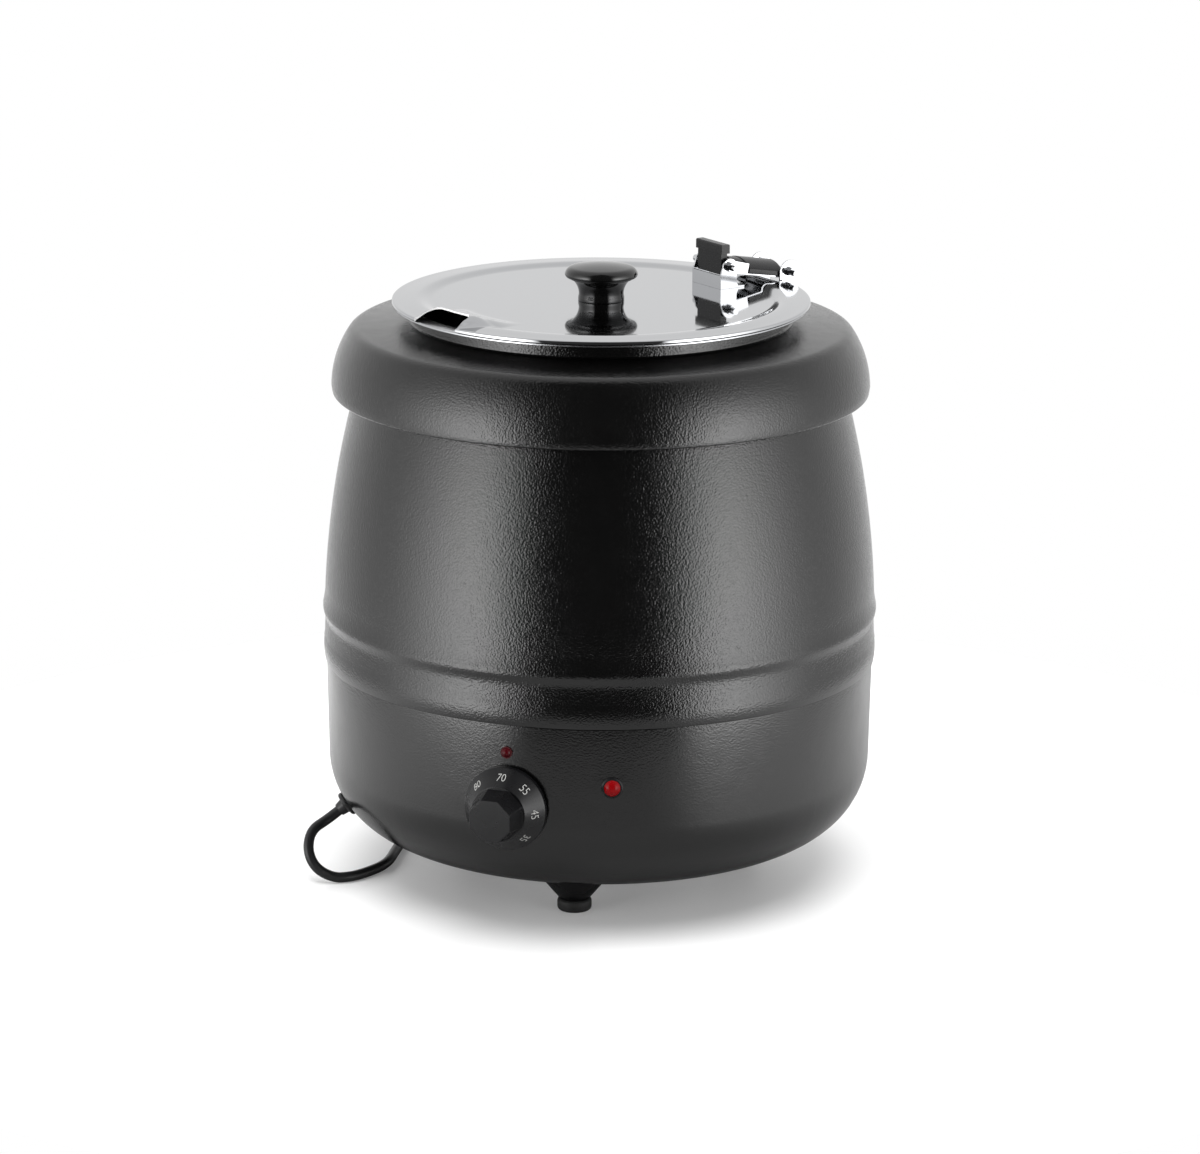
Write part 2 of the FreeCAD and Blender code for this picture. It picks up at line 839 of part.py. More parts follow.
def make_water_pan():
    body = new_body("water_pan")
    wall = dim.pan_wall
    corner_reach = dim.pan_radius - dim.pan_corner
    corner_height = dim.pan_floor + dim.pan_corner
    inner = dim.pan_radius - wall
    revolve(outline(new_sketch(body, "XZ_Plane"), [
        (0, dim.pan_floor),
        (corner_reach, dim.pan_floor), left(dim.pan_corner),
        (dim.pan_radius, corner_height),
        (dim.pan_radius, pan_flange_bottom(dim.pan_radius)),
        (dim.pan_flange_radius, pan_flange_bottom(dim.pan_flange_radius)),
        (dim.pan_flange_radius, pan_flange_top(dim.pan_flange_radius)),
        (inner, pan_flange_top(inner)),
        (inner, corner_height), right(dim.pan_corner - wall),
        (corner_reach, dim.pan_floor + wall),
        (0, dim.pan_floor + wall),
    ]))
    return keep(body)


def make_heater_plate():
    body = new_body("heater_plate")
    edge = dim.heater_plate_wall / 4
    revolve(outline(new_sketch(body, "XZ_Plane"), [
        (dim.stud_radius + dim.fit_gap, heater_bottom),
        (dim.heater_plate_radius - edge, heater_bottom),
        (dim.heater_plate_radius, heater_bottom + edge),
        (dim.heater_plate_radius, dim.pan_floor),
        (dim.stud_radius + dim.fit_gap, dim.pan_floor),
    ]))
    return keep(body)


def make_heating_element():
    """Open tube ring with its two cold ends turned down to the wiring."""
    start = (360 - dim.element_sweep) / 2
    body = new_body("heating_element", turn("z", start))
    section = new_sketch(body, "XZ_Plane")
    circle(section, dim.element_ring, element_z, dim.element_radius)
    revolve(section, angle=dim.element_sweep)
    leg_radius = dim.element_radius * 0.8
    for angle in (as_size(0), dim.element_sweep):
        leg = new_sketch(body, "XY_Plane", turn("z", angle), shift(0, 0, element_z - dim.element_leg))
        pad(circle(leg, dim.element_ring, 0, leg_radius), dim.element_leg)
    return keep(body)


def make_element_clamp():
    body = new_body("element_clamp", turn("z", 60))
    half_length = dim.clamp_bar_length / 2
    half_width = dim.clamp_bar_width / 2
    bar = outline(new_sketch(body, "XY_Plane", shift(0, 0, clamp_bottom)), [
        (half_length - half_width, -half_width), left(half_width * 1.001),
        (half_length - half_width, half_width),
        (-half_length + half_width, half_width), left(half_width * 1.001),
        (-half_length + half_width, -half_width),
    ])
    circle(bar, 0, 0, dim.stud_radius + dim.fit_gap)
    pad(bar, dim.clamp_bar_wall)
    return keep(body)


def make_tie_stud():
    body = new_body("tie_stud")
    low = dim.bowl_floor - dim.tie_washer_wall - dim.tie_nut_height - dim.stud_end
    edge = dim.stud_radius / 4
    revolve(outline(new_sketch(body, "XZ_Plane"), [
        (0, low),
        (dim.stud_radius - edge, low),
        (dim.stud_radius, low + edge),
        (dim.stud_radius, dim.pan_floor),
        (0, dim.pan_floor),
    ]))
    return keep(body)


def make_tie_nut(label, top):
    body = new_body(label)
    sketch = new_sketch(body, "XY_Plane", shift(0, 0, top - dim.tie_nut_height))
    polygon(sketch, 6, dim.tie_nut_flats)
    circle(sketch, 0, 0, dim.stud_radius + dim.run_gap)
    pad(sketch, dim.tie_nut_height)
    return keep(body)


def make_tie_washer():
    body = new_body("tie_washer")
    sketch = new_sketch(body, "XY_Plane", shift(0, 0, dim.bowl_floor - dim.tie_washer_wall))
    circle(sketch, 0, 0, dim.tie_washer_radius)
    circle(sketch, 0, 0, dim.stud_radius + dim.fit_gap)
    pad(sketch, dim.tie_washer_wall)
    return keep(body)


def make_thermal_cutout():
    body = new_body("thermal_cutout", turn("z", 130), shift(dim.cutout_switch_reach, 0, 0))
    top = heater_bottom
    low = top - dim.cutout_switch_height
    step = dim.cutout_switch_radius * 0.75
    revolve(outline(new_sketch(body, "XZ_Plane"), [
        (0, low),
        (step, low),
        (step, low + dim.cutout_switch_height * 0.4),
        (dim.cutout_switch_radius, low + dim.cutout_switch_height * 0.4),
        (dim.cutout_switch_radius, top),
        (0, top),
    ]))
    return keep(body)


def make_terminal_block():
    """Screw terminal strip on the bowl's floor, with a wire entry in each of its three ways."""
    body = new_body("terminal_block", turn("z", dim.terminal_angle), shift(dim.terminal_reach, 0, 0))
    half_length = dim.terminal_length / 2
    half_width = dim.terminal_width / 2
    base = new_sketch(body, "XY_Plane", shift(0, 0, bowl_inside))
    rectangle(base, -half_width, -half_length, half_width, half_length)
    pad(base, dim.terminal_height)
    way = dim.terminal_length / 3
    top = new_sketch(body, "XY_Plane", shift(0, 0, bowl_inside + dim.terminal_height))
    for index in (-1, 0, 1):
        circle(top, 0, way * index, way * 0.3)
    pocket(top, dim.terminal_height / 2)
    entry = new_sketch(body, "YZ_Plane")
    for index in (-1, 0, 1):
        circle(entry, way * index, bowl_inside + dim.terminal_height * 0.3, way * 0.22)
    pocket(entry, dim.terminal_width * 2, both=True)
    return keep(body)


# Dial, thermostat and lights

def make_dial_knob():
    """Conical dial with an eight-sided grip, hollow behind where it covers the thermostat's screws."""
    body = new_body("dial_knob", *DIAL)
    back = dial_back
    boss = back + dim.dial_boss_gap
    recess = back + dim.dial_recess_depth
    cone = back + dim.dial_cone_height
    revolve(outline(new_sketch(body, "XZ_Plane"), [
        (boss, 0),
        (boss, dim.dial_boss_radius),
        (recess, dim.dial_boss_radius),
        (recess, dim.dial_recess_radius),
        (back, dim.dial_recess_radius),
        (back, dim.dial_radius),
        (back + dim.dial_rim, dim.dial_radius),
        (back + dim.dial_rim + dim.dial_rim_chamfer, dim.dial_radius - dim.dial_rim_chamfer),
        (cone, dim.dial_cone_radius),
        (cone, 0),
    ]), axis="H_Axis")
    grip_base = cone - dim.dial_web
    grip = polygon(new_sketch(body, "YZ_Plane", shift(0, 0, grip_base)), 8, dim.dial_grip_flats)
    feature = pad(grip, back + dim.dial_grip_height - grip_base)
    taper = -dim.dial_grip_taper
    feature.TaperAngle = taper.value
    feature.setExpression("TaperAngle", taper.text)
    bore = circle(new_sketch(body, "YZ_Plane", shift(0, 0, back)), 0, 0, dim.shaft_radius)
    pocket(bore, dim.dial_bore_depth, flipped=True)
    return keep(body)


def make_dial_shaft():
    body = new_body("dial_shaft", *DIAL)
    low = plate_front - dim.thermostat_bore_depth + dim.seat_gap
    edge = dim.shaft_radius / 6
    revolve(outline(new_sketch(body, "XZ_Plane"), [
        (low, 0),
        (dial_back + dim.dial_bore_depth - dim.fit_gap, 0),
        (dial_back + dim.dial_bore_depth - dim.fit_gap, dim.shaft_radius),
        (low + edge, dim.shaft_radius),
        (low, dim.shaft_radius - edge),
    ]), axis="H_Axis")
    return keep(body)


def make_thermostat_body():
    """Capillary thermostat: moulded case on a steel front plate with two fixing holes."""
    body = new_body("thermostat_body", *DIAL)
    case_front = plate_front - dim.thermostat_plate_wall
    half = dim.thermostat_width / 2
    plate_half = dim.thermostat_plate_height / 2
    case = new_sketch(body, "YZ_Plane", shift(0, 0, case_front - dim.thermostat_depth))
    corner = half / 4
    outline(case, [
        (half - corner, -half), left(corner),
        (half, -half + corner),
        (half, half - corner), left(corner),
        (half - corner, half),
        (-half + corner, half), left(corner),
        (-half, half - corner),
        (-half, -half + corner), left(corner),
        (-half + corner, -half),
    ])
    pad(case, dim.thermostat_depth)
    plate = new_sketch(body, "YZ_Plane", shift(0, 0, case_front))
    rectangle(plate, -plate_half, -plate_half, plate_half, plate_half)
    pad(plate, dim.thermostat_plate_wall)
    front = new_sketch(body, "YZ_Plane", shift(0, 0, plate_front))
    circle(front, 0, 0, dim.shaft_radius + dim.run_gap)
    pocket(front, dim.thermostat_bore_depth)
    holes = new_sketch(body, "YZ_Plane", shift(0, 0, plate_front))
    for side in (1, -1):
        height = dim.thermostat_screw_spacing / 2 * side
        circle(holes, 0, height, dim.thermostat_screw_radius + dim.run_gap)
    pocket(holes, dim.thermostat_bore_depth / 2)
    return keep(body)


def make_thermostat_screws():
    """Two round-headed screws under the dial."""
    body = new_body("thermostat_screws", *DIAL)
    height = dim.thermostat_screw_spacing / 2
    wall = wall_radius(dim.dial_height + height)
    head = dim.thermostat_screw_radius
    low = plate_front - dim.thermostat_bore_depth / 2 + dim.seat_gap
    sketch = outline(new_sketch(body, "XZ_Plane", shift(0, height, 0)), [
        (low, 0),
        (wall + head, 0),
        (wall + head, dim.thermostat_screw_head - head / 3),
        (wall + head / 2, dim.thermostat_screw_head),
        (wall + dim.run_gap, dim.thermostat_screw_head),
        (wall + dim.run_gap, dim.thermostat_screw_radius),
        (low, dim.thermostat_screw_radius),
    ])
    mirrored(revolve(sketch, axis="H_Axis"), "XY_Plane")
    return keep(body)


def make_lamp_bezel():
    body = new_body("lamp_bezel", *LAMP)
    seat = lamp_wall + dim.run_gap
    bore = dim.lamp_lens_radius + dim.fit_gap
    front = seat + dim.lamp_flange_wall
    edge = dim.lamp_flange_wall / 2
    revolve(outline(new_sketch(body, "XZ_Plane"), [
        (lamp_wall - dim.lamp_barrel_length, bore),
        (front, bore),
        (front, dim.lamp_flange_radius - edge),
        (front - edge, dim.lamp_flange_radius),
        (seat, dim.lamp_flange_radius),
        (seat, dim.lamp_barrel_radius),
        (lamp_wall - dim.lamp_barrel_length, dim.lamp_barrel_radius),
    ]), axis="H_Axis")
    return keep(body)


def make_lamp_lens():
    body = new_body("lamp_lens", *LAMP)
    front = lamp_wall + dim.run_gap + dim.lamp_flange_wall
    revolve(outline(new_sketch(body, "XZ_Plane"), [
        (lamp_wall - dim.lamp_barrel_length, 0),
        (front + dim.lamp_lens_crown, 0), left(dome_arc(dim.lamp_lens_radius, dim.lamp_lens_crown)),
        (front, dim.lamp_lens_radius),
        (lamp_wall - dim.lamp_barrel_length, dim.lamp_lens_radius),
    ]), axis="H_Axis")
    return keep(body)


def make_lamp_body():
    """Neon holder behind the lens, with two blade terminals."""
    body = new_body("lamp_body", *LAMP)
    front = lamp_wall - dim.lamp_barrel_length - dim.fit_gap
    low = front - dim.lamp_body_length
    revolve(outline(new_sketch(body, "XZ_Plane"), [
        (low, 0),
        (front, 0),
        (front, dim.lamp_barrel_radius),
        (low, dim.lamp_barrel_radius),
    ]), axis="H_Axis")
    blades = new_sketch(body, "YZ_Plane", shift(0, 0, low))
    for side in (1, -1):
        centre = dim.lamp_barrel_radius / 2 * side
        half_wall = dim.lamp_blade_wall / 2
        half_width = dim.lamp_blade_width / 2
        rectangle(blades, centre - half_wall, -half_width, centre + half_wall, half_width)
    pad(blades, dim.lamp_blade_length, flipped=True)
    return keep(body)


def make_pointer_light():
    """Small domed light above the dial, which the dial's numbers are read against."""
    body = new_body("pointer_light", *POINTER)
    collar = dim.pointer_radius * 1.2
    seat = pointer_wall + dim.run_gap
    front = seat + dim.pointer_collar
    revolve(outline(new_sketch(body, "XZ_Plane"), [
        (pointer_wall - dim.pointer_length, 0),
        (front + dim.pointer_crown, 0), left(dome_arc(dim.pointer_radius, dim.pointer_crown)),
        (front, dim.pointer_radius),
        (front, collar),
        (seat, collar),
        (seat, dim.pointer_radius),
        (pointer_wall - dim.pointer_length, dim.pointer_radius),
    ]), axis="H_Axis")
    return keep(body)


# Soup pot

def make_soup_pot():
    body = new_body("soup_pot")
    wall = dim.pot_wall
    inner = dim.pot_radius - wall
    corner_reach = dim.pot_radius - dim.pot_corner
    corner_height = dim.pot_floor + dim.pot_corner
    bend_height = dim.pot_flange_height - dim.pot_flange_corner
    lip_round = wall * 0.8
    revolve(outline(new_sketch(body, "XZ_Plane"), [
        (0, dim.pot_floor),
        (corner_reach, dim.pot_floor), left(dim.pot_corner),
        (dim.pot_radius, corner_height),
        (dim.pot_radius, bend_height), right(dim.pot_flange_corner),
        (pot_corner_reach, dim.pot_flange_height),
        (dim.pot_flange_radius - wall, dim.pot_flange_height),
        (dim.pot_flange_radius - wall, pot_lip_bottom),
        (dim.pot_flange_radius, pot_lip_bottom),
        (dim.pot_flange_radius, pot_flange_top - lip_round), left(lip_round),
        (dim.pot_flange_radius - lip_round, pot_flange_top),
        (pot_corner_reach, pot_flange_top), left(dim.pot_flange_corner + wall),
        (inner, bend_height),
        (inner, corner_height), right(dim.pot_corner - wall),
        (corner_reach, dim.pot_floor + wall),
        (0, dim.pot_floor + wall),
    ]))
    return keep(body)


# Lid

def notch_path(grow, reach):
    """Half of the notch's outline, from the lid's edge inwards, grown outwards by a margin."""
    corner = dim.notch_corner
    inner = dim.lid_radius - dim.notch_depth
    half_inner = dim.notch_inner / 2
    spread = (dim.notch_mouth - dim.notch_inner) / 2 / (dim.notch_depth - corner)
    return [
        (-reach, half_inner + grow + (reach - inner - corner) * spread),
        (-inner - corner, half_inner + grow), right(corner + grow),
        (-inner + grow, half_inner - corner),
    ]


def make_lid_shell():
    body = new_body("lid_shell", *HINGE)
    wall = dim.lid_wall
    edge = dim.lid_edge_round
    ease = wall * 0.42
    step_top = lid_edge + dim.lid_rise
    revolve(outline(new_sketch(body, "XZ_Plane"), [
        (dim.lid_radius, lid_bottom),
        (dim.lid_radius, lid_edge - edge), left(edge),
        (dim.lid_radius - edge, lid_edge),
        (dim.lid_step_radius, step_top),
        (dim.lid_disc_radius, disc_top),
        (0, disc_top),
        (0, disc_bottom),
        (dim.lid_disc_radius + ease, disc_bottom),
        (dim.lid_step_radius + ease, step_top - wall),
        (dim.lid_radius - wall, lid_edge - wall),
        (dim.lid_radius - wall, lid_bottom),
    ]))
    past_edge = dim.lid_radius + dim.lid_wall * 4
    above = lid_edge + dim.notch_lip * 4
    notch = new_sketch(body, "XY_Plane", turn("z", dim.notch_lean), shift(0, 0, above))
    upper = notch_path(as_size(0), past_edge)
    outline(notch, upper + [(item[0], -item[1]) if item[0] != "right" else item for item in reversed(upper)])
    pocket(notch, dim.notch_lip * 8)
    cutout = new_sketch(body, "XY_Plane", shift(0, 0, above))
    half = dim.cutout_width / 2
    rectangle(cutout, dim.lid_radius - dim.cutout_depth, -half, past_edge, half)
    pocket(cutout, dim.notch_lip * 8)
    holes = new_sketch(body, "XY_Plane", shift(0, 0, above))
    circle(holes, 0, 0, dim.knob_screw_radius + dim.fit_gap)
    for side in (1, -1):
        circle(holes, dim.rivet_reach, dim.rivet_spacing / 2 * side, dim.rivet_radius + dim.run_gap)
    pocket(holes, dim.notch_lip * 8)
    lip = new_sketch(body, "XY_Plane", turn("z", dim.notch_lean), shift(0, 0, lid_edge - wall / 2))
    lip_end = dim.lid_radius - edge
    outer = notch_path(wall, lip_end)
    inner = notch_path(as_size(0), lip_end)
    loop = outer + [(item[0], -item[1]) if item[0] != "right" else item for item in reversed(outer)]
    loop += [(item[0], -item[1]) if item[0] != "right" else ("left", item[1]) for item in inner]
    loop += [item if item[0] != "right" else ("left", item[1]) for item in reversed(inner)]
    outline(lip, loop)
    pad(lip, dim.notch_lip * 2)
    rise = dim.notch_lip + dim.lid_rise
    inner_end = dim.lid_radius - dim.notch_depth - wall * 2
    trim = outline(new_sketch(body, "XZ_Plane", turn("y", dim.notch_lean)), [
        (-inner_end, lid_edge + rise),
        (-inner_end, above),
        (-past_edge, above),
        (-past_edge, lid_edge + dim.notch_lip * 0.6),
        (-lip_end, lid_edge + dim.notch_lip * 0.6),
    ])
    pocket(trim, dim.notch_mouth * 2, both=True)
    return keep(body)


def make_lid_knob():
    body = new_body("lid_knob")
    bore = dim.knob_screw_radius + dim.run_gap
    bore_top = disc_top + dim.knob_screw_length + dim.seat_gap
    ridge_radius = dim.knob_flare_radius + dim.knob_ridge
    flare_top = disc_top + dim.knob_flare_height
    ridge_top = flare_top + dim.knob_ridge
    crown_arc = dome_arc(dim.knob_crown_radius, dim.knob_height - dim.knob_crown_height)
    revolve(outline(new_sketch(body, "XZ_Plane"), [
        (bore, disc_top),
        (dim.knob_foot_radius, disc_top),
        (dim.knob_foot_radius, disc_top + dim.knob_waist_height / 2),
        (dim.knob_waist_radius, disc_top + dim.knob_waist_height), right(dim.knob_flare_arc),
        (dim.knob_flare_radius, flare_top),
        (ridge_radius, flare_top),
        (ridge_radius, ridge_top),
        (dim.knob_radius - dim.knob_ridge, ridge_top), left(dim.knob_ridge * 2.2),
        (dim.knob_radius, disc_top + dim.knob_rim_height), left(dim.knob_rim_arc),
        (dim.knob_crown_radius, disc_top + dim.knob_crown_height), left(crown_arc),
        (0, disc_top + dim.knob_height),
        (0, bore_top),
        (bore, bore_top),
    ]))
    return keep(body)


def make_knob_screw():
    body = new_body("knob_screw")
    head = dim.knob_screw_radius * 2.1
    head_height = dim.knob_screw_radius * 1.1
    revolve(outline(new_sketch(body, "XZ_Plane"), [
        (0, disc_bottom - head_height),
        (head * 0.6, disc_bottom - head_height), left(head),
        (head, disc_bottom),
        (dim.knob_screw_radius, disc_bottom),
        (dim.knob_screw_radius, disc_top + dim.knob_screw_length),
        (0, disc_top + dim.knob_screw_length),
    ]))
    return keep(body)


# Lid hinge

def make_pin(label, reach, height, half_length):
    body = new_body(label, *HINGE, shift(reach, 0, height))
    pad(circle(new_sketch(body, "XZ_Plane"), 0, 0, dim.pin_radius), half_length * 2, both=True)
    return keep(body)


def make_nuts(label, reach, height, seat):
    """A nut on each end of a hinge pin."""
    body = new_body(label, *HINGE, shift(reach, 0, height))
    sketch = new_sketch(body, "XZ_Plane", shift(0, 0, seat + dim.fit_gap))
    polygon(sketch, 6, dim.nut_flats)
    circle(sketch, 0, 0, dim.pin_radius + dim.run_gap)
    mirrored(pad(sketch, dim.nut_height))
    return keep(body)


def make_lid_bracket():
    """Bent sheet: two ears, a low front wall and a foot that is riveted to the lid."""
    body = new_body("lid_bracket", *HINGE, shift(dim.front_pin_reach, 0, disc_top))
    wall = dim.bracket_wall
    ear = dim.bracket_ear_radius
    pin = dim.front_pin_height
    side = outline(new_sketch(body, "XZ_Plane"), [
        (-dim.bracket_front, 0),
        (dim.bracket_tail, 0),
        (dim.bracket_tail, wall),
        (ear + wall, wall),
        (ear, wall * 3),
        (ear, pin), left(ear),
        (0, pin + ear), left(ear),
        (-ear, pin),
        (-dim.bracket_front, dim.bracket_front_wall),
    ])
    pad(side, dim.bracket_width, both=True)
    high = pin + ear * 2
    inside = outline(new_sketch(body, "XZ_Plane"), [
        (-dim.bracket_front + wall, wall),
        (dim.bracket_tail * 2, wall),
        (dim.bracket_tail * 2, high),
        (-dim.bracket_front * 2, high),
        (-dim.bracket_front * 2, dim.bracket_front_wall),
        (-dim.bracket_front + wall, dim.bracket_front_wall),
    ])
    pocket(inside, dim.bracket_width - wall * 2, both=True)
    pin_hole = circle(new_sketch(body, "XZ_Plane"), 0, pin, dim.pin_radius + dim.run_gap)
    pocket(pin_hole, dim.bracket_width * 2, both=True)
    rivet_holes = new_sketch(body, "XY_Plane")
    for sign in (1, -1):
        reach = dim.rivet_reach - dim.front_pin_reach
        circle(rivet_holes, reach, dim.rivet_spacing / 2 * sign, dim.rivet_radius + dim.run_gap)
    pocket(rivet_holes, wall * 2, flipped=True)
    return keep(body)


def make_bracket_rivets():
    body = new_body("bracket_rivets", *HINGE)
    top = disc_top + dim.bracket_wall
    head = dim.rivet_head_height
    sketch = new_sketch(body, "XZ_Plane", shift(dim.rivet_reach, 0, dim.rivet_spacing / 2))
    outline(sketch, [
        (0, disc_bottom - head),
        (dim.rivet_head_radius, disc_bottom - head),
        (dim.rivet_head_radius, disc_bottom),
        (dim.rivet_radius, disc_bottom),
        (dim.rivet_radius, top),
        (dim.rivet_head_radius, top),
        (dim.rivet_head_radius * 0.6, top + head),
        (0, top + head),
    ])
    mirrored(revolve(sketch))
    return keep(body)


arm_run = dim.rear_pin_reach - dim.front_pin_reach
arm_fall = front_pin_z - rear_pin_z
arm_length = root(arm_run * arm_run + arm_fall * arm_fall)
# The arm's frame: origin on the front pin, X along the arm to the rear pin
ARM = [*HINGE, shift(dim.front_pin_reach, 0, front_pin_z), turn("y", slope(arm_fall, arm_run))]


def make_hinge_arm():
    """Channel of two stepped cheeks on one web, with a pin hole at each end."""
    body = new_body("hinge_arm", *ARM)
    lobe = dim.arm_lobe_radius
    strip = -dim.arm_strip_top
    cheek = dim.arm_cheek_length
    side = outline(new_sketch(body, "XZ_Plane"), [
        (0, -lobe),
        (arm_length, -lobe), left(lobe),
        (arm_length + lobe, 0), left(lobe),
        (arm_length, lobe),
        (arm_length - lobe, strip),
        (cheek, strip),
        (cheek, lobe * 0.7),
        (0, lobe), left(lobe),
        (-lobe, 0), left(lobe),
    ])
    pad(side, dim.arm_width, both=True)
    web_start = cheek
    web_end = arm_length - dim.arm_web_margin
    web_top = -lobe + dim.arm_wall
    low = -lobe * 2
    inside = outline(new_sketch(body, "XZ_Plane"), [
        (-lobe * 2, low),
        (web_start, low),
        (web_start, web_top),
        (web_end, web_top),
        (web_end, low),
        (arm_length + lobe * 2, low),
        (arm_length + lobe * 2, lobe * 2),
        (-lobe * 2, lobe * 2),
    ])
    pocket(inside, dim.arm_width - dim.arm_wall * 2, both=True)
    holes = new_sketch(body, "XZ_Plane")
    circle(holes, 0, 0, dim.pin_radius + dim.run_gap)
    circle(holes, arm_length, 0, dim.pin_radius + dim.run_gap)
    pocket(holes, dim.arm_width * 2, both=True)
    return keep(body)


def cover_section(half, drop, crown):
    """Half-round section: straight skirts under a crowned top."""
    arc = dome_arc(half, crown)
    return [
        (-half, -drop),
        (half, -drop),
        (half, 0), left(arc),
        (0, crown), left(arc),
        (-half, 0),
    ]


def make_arm_cover():
    """Black moulded cap over the arm: narrow between the cheeks, full width over the strip."""
    body = new_body("arm_cover", *ARM)
    wall = dim.cover_wall
    start = dim.cover_start
    cheek_end = dim.arm_cheek_length + dim.fit_gap
    end = arm_length - dim.cover_end_gap
    drop = dim.cover_skirt
    wide = dim.cover_width / 2
    narrow = dim.arm_width / 2 - dim.arm_wall - dim.seat_gap
    rear = new_sketch(body, "YZ_Plane", shift(0, 0, cheek_end))
    pad(outline(rear, cover_section(wide, drop, dim.cover_crown)), end - cheek_end)
    front = new_sketch(body, "YZ_Plane", shift(0, 0, start))
    front_crown = dim.cover_crown - dim.cover_step
    pad(outline(front, cover_section(narrow, drop / 3, front_crown)), cheek_end - start + wall)
    hollow = new_sketch(body, "YZ_Plane", shift(0, 0, start + wall))
    outline(hollow, cover_section(narrow - wall, drop * 2, front_crown - wall))
    pocket(hollow, arm_length, flipped=True)
    slots = new_sketch(body, "YZ_Plane", shift(0, 0, cheek_end - wall))
    inner = narrow + dim.fit_gap
    outer = dim.arm_width / 2 + dim.fit_gap
    slot_top = -dim.arm_strip_top + dim.fit_gap
    rectangle(slots, inner, -drop * 2, outer, slot_top)
    rectangle(slots, -outer, -drop * 2, -inner, slot_top)
    pocket(slots, arm_length, flipped=True)
    return keep(body)


def make_rim_clip():
    """Bracket hooked round the pot's flange, with two ears for the rear hinge pin."""
    body = new_body("rim_clip", *HINGE)
    wall = dim.clip_wall
    ear = dim.clip_ear_radius
    pin = dim.rear_pin_reach
    hook = dim.pot_flange_radius + dim.fit_gap
    lip_top = pot_lip_bottom - dim.fit_gap
    lip_low = lip_top - wall
    seat = pot_flange_top + dim.fit_gap
    back = pin + ear
    side = outline(new_sketch(body, "XZ_Plane"), [
        (dim.clip_lip_reach, lip_low),
        (back, lip_low),
        (back, rear_pin_z), left(ear),
        (pin, rear_pin_z + ear), left(ear),
        (pin - ear, rear_pin_z),
        (pin - ear, seat),
        (hook, seat),
        (hook, lip_top),
        (dim.clip_lip_reach, lip_top),
    ])
    pad(side, dim.clip_width, both=True)
    shelf = seat + wall
    high = rear_pin_z + ear * 2
    inside = rectangle(new_sketch(body, "XZ_Plane"), pin - ear * 2, shelf, back + ear, high)
    pocket(inside, dim.clip_width - wall * 2, both=True)
    hollow = rectangle(new_sketch(body, "XZ_Plane"), hook + wall, lip_top, back - wall, seat)
    pocket(hollow, dim.clip_width - wall * 2, both=True)
    pin_hole = circle(new_sketch(body, "XZ_Plane"), pin, rear_pin_z, dim.pin_radius + dim.run_gap)
    pocket(pin_hole, dim.clip_width * 2, both=True)
    return keep(body)


def make_release_tab():
    """Black thumb tab on the front pin, with a slot in its hub for the return spring."""
    body = new_body("release_tab", *HINGE, shift(dim.front_pin_reach, 0, front_pin_z))
    hub = dim.tab_hub_radius
    front = -hub
    back = front + dim.tab_wall
    top = dim.tab_top - dim.front_pin_height
    head_low = top - dim.tab_head_height
    step = dim.tab_head_step
    blade = rectangle(new_sketch(body, "XZ_Plane"), front, -hub, back, top - step)
    pad(blade, dim.tab_width, both=True)
    pad(circle(new_sketch(body, "XZ_Plane"), 0, 0, hub), dim.tab_width, both=True)
    head = outline(new_sketch(body, "XZ_Plane"), [
        (front - step * 0.6, head_low),
        (back + step, head_low),
        (back + step, top - step), left(step),
        (back, top),
        (front + step * 0.4, top), left(step),
        (front - step * 0.6, top - step),
    ])
    pad(head, dim.tab_head_width, both=True)
    room = dim.spring_radius + dim.spring_wire / 2 + dim.seat_gap
    slot = outline(new_sketch(body, "XZ_Plane"), [
        (0, -hub * 2),
        (hub * 2, -hub * 2),
        (hub * 2, hub * 1.2),
        (0, hub * 1.2),
        (0, room), left(room),
        (-room, 0), left(room),
        (0, -room),
    ])
    pocket(slot, dim.tab_slot, both=True)
    bore = circle(new_sketch(body, "XZ_Plane"), 0, 0, dim.pin_radius + dim.run_gap)
    pocket(bore, dim.tab_width * 2, both=True)
    return keep(body)


# Wound and swept pieces

def biarc(start, start_way, end, end_way):
    """Two arcs from one point and direction to another, which meet with a common tangent."""
    chord = end - start
    both = start_way + end_way
    spread = 2 * (1 - start_way.dot(end_way))
    along = chord.dot(both)
    if spread < 1e-9:
        reach = chord.dot(chord) / (4 * chord.dot(end_way))
    else:
        reach = (math.sqrt(along ** 2 + spread * chord.dot(chord)) - along) / spread
    middle = (start + end + (start_way - end_way) * reach) * 0.5
    return [
        arc_edge(start, arc_middle(start, start_way, middle), middle),
        arc_edge(middle, arc_middle(end, end_way * -1, middle), end),
    ]


def arc_middle(start, way, end):
    """Middle of the arc that leaves a point in a direction and ends at another point."""
    chord = end - start
    sideways = chord - way * chord.dot(way)
    if sideways.Length < 1e-7:
        return start + chord * 0.5
    sideways.normalize()
    radius = chord.dot(chord) / (2 * chord.dot(sideways))
    centre = start + sideways * radius
    half = (start - centre) + (end - centre)
    half.normalize()
    return centre + half * radius


def arc_edge(start, middle, end):
    """Arc through three points, or a straight edge where they are in line."""
    if (middle - (start + end) * 0.5).Length < 1e-6:
        return Part.LineSegment(start, end).toShape()
    return Part.Arc(start, middle, end).toShape()


def wound_edges(points, ways):
    edges = []
    for index in range(len(points) - 1):
        edges += biarc(points[index], ways[index], points[index + 1], ways[index + 1])
    return edges


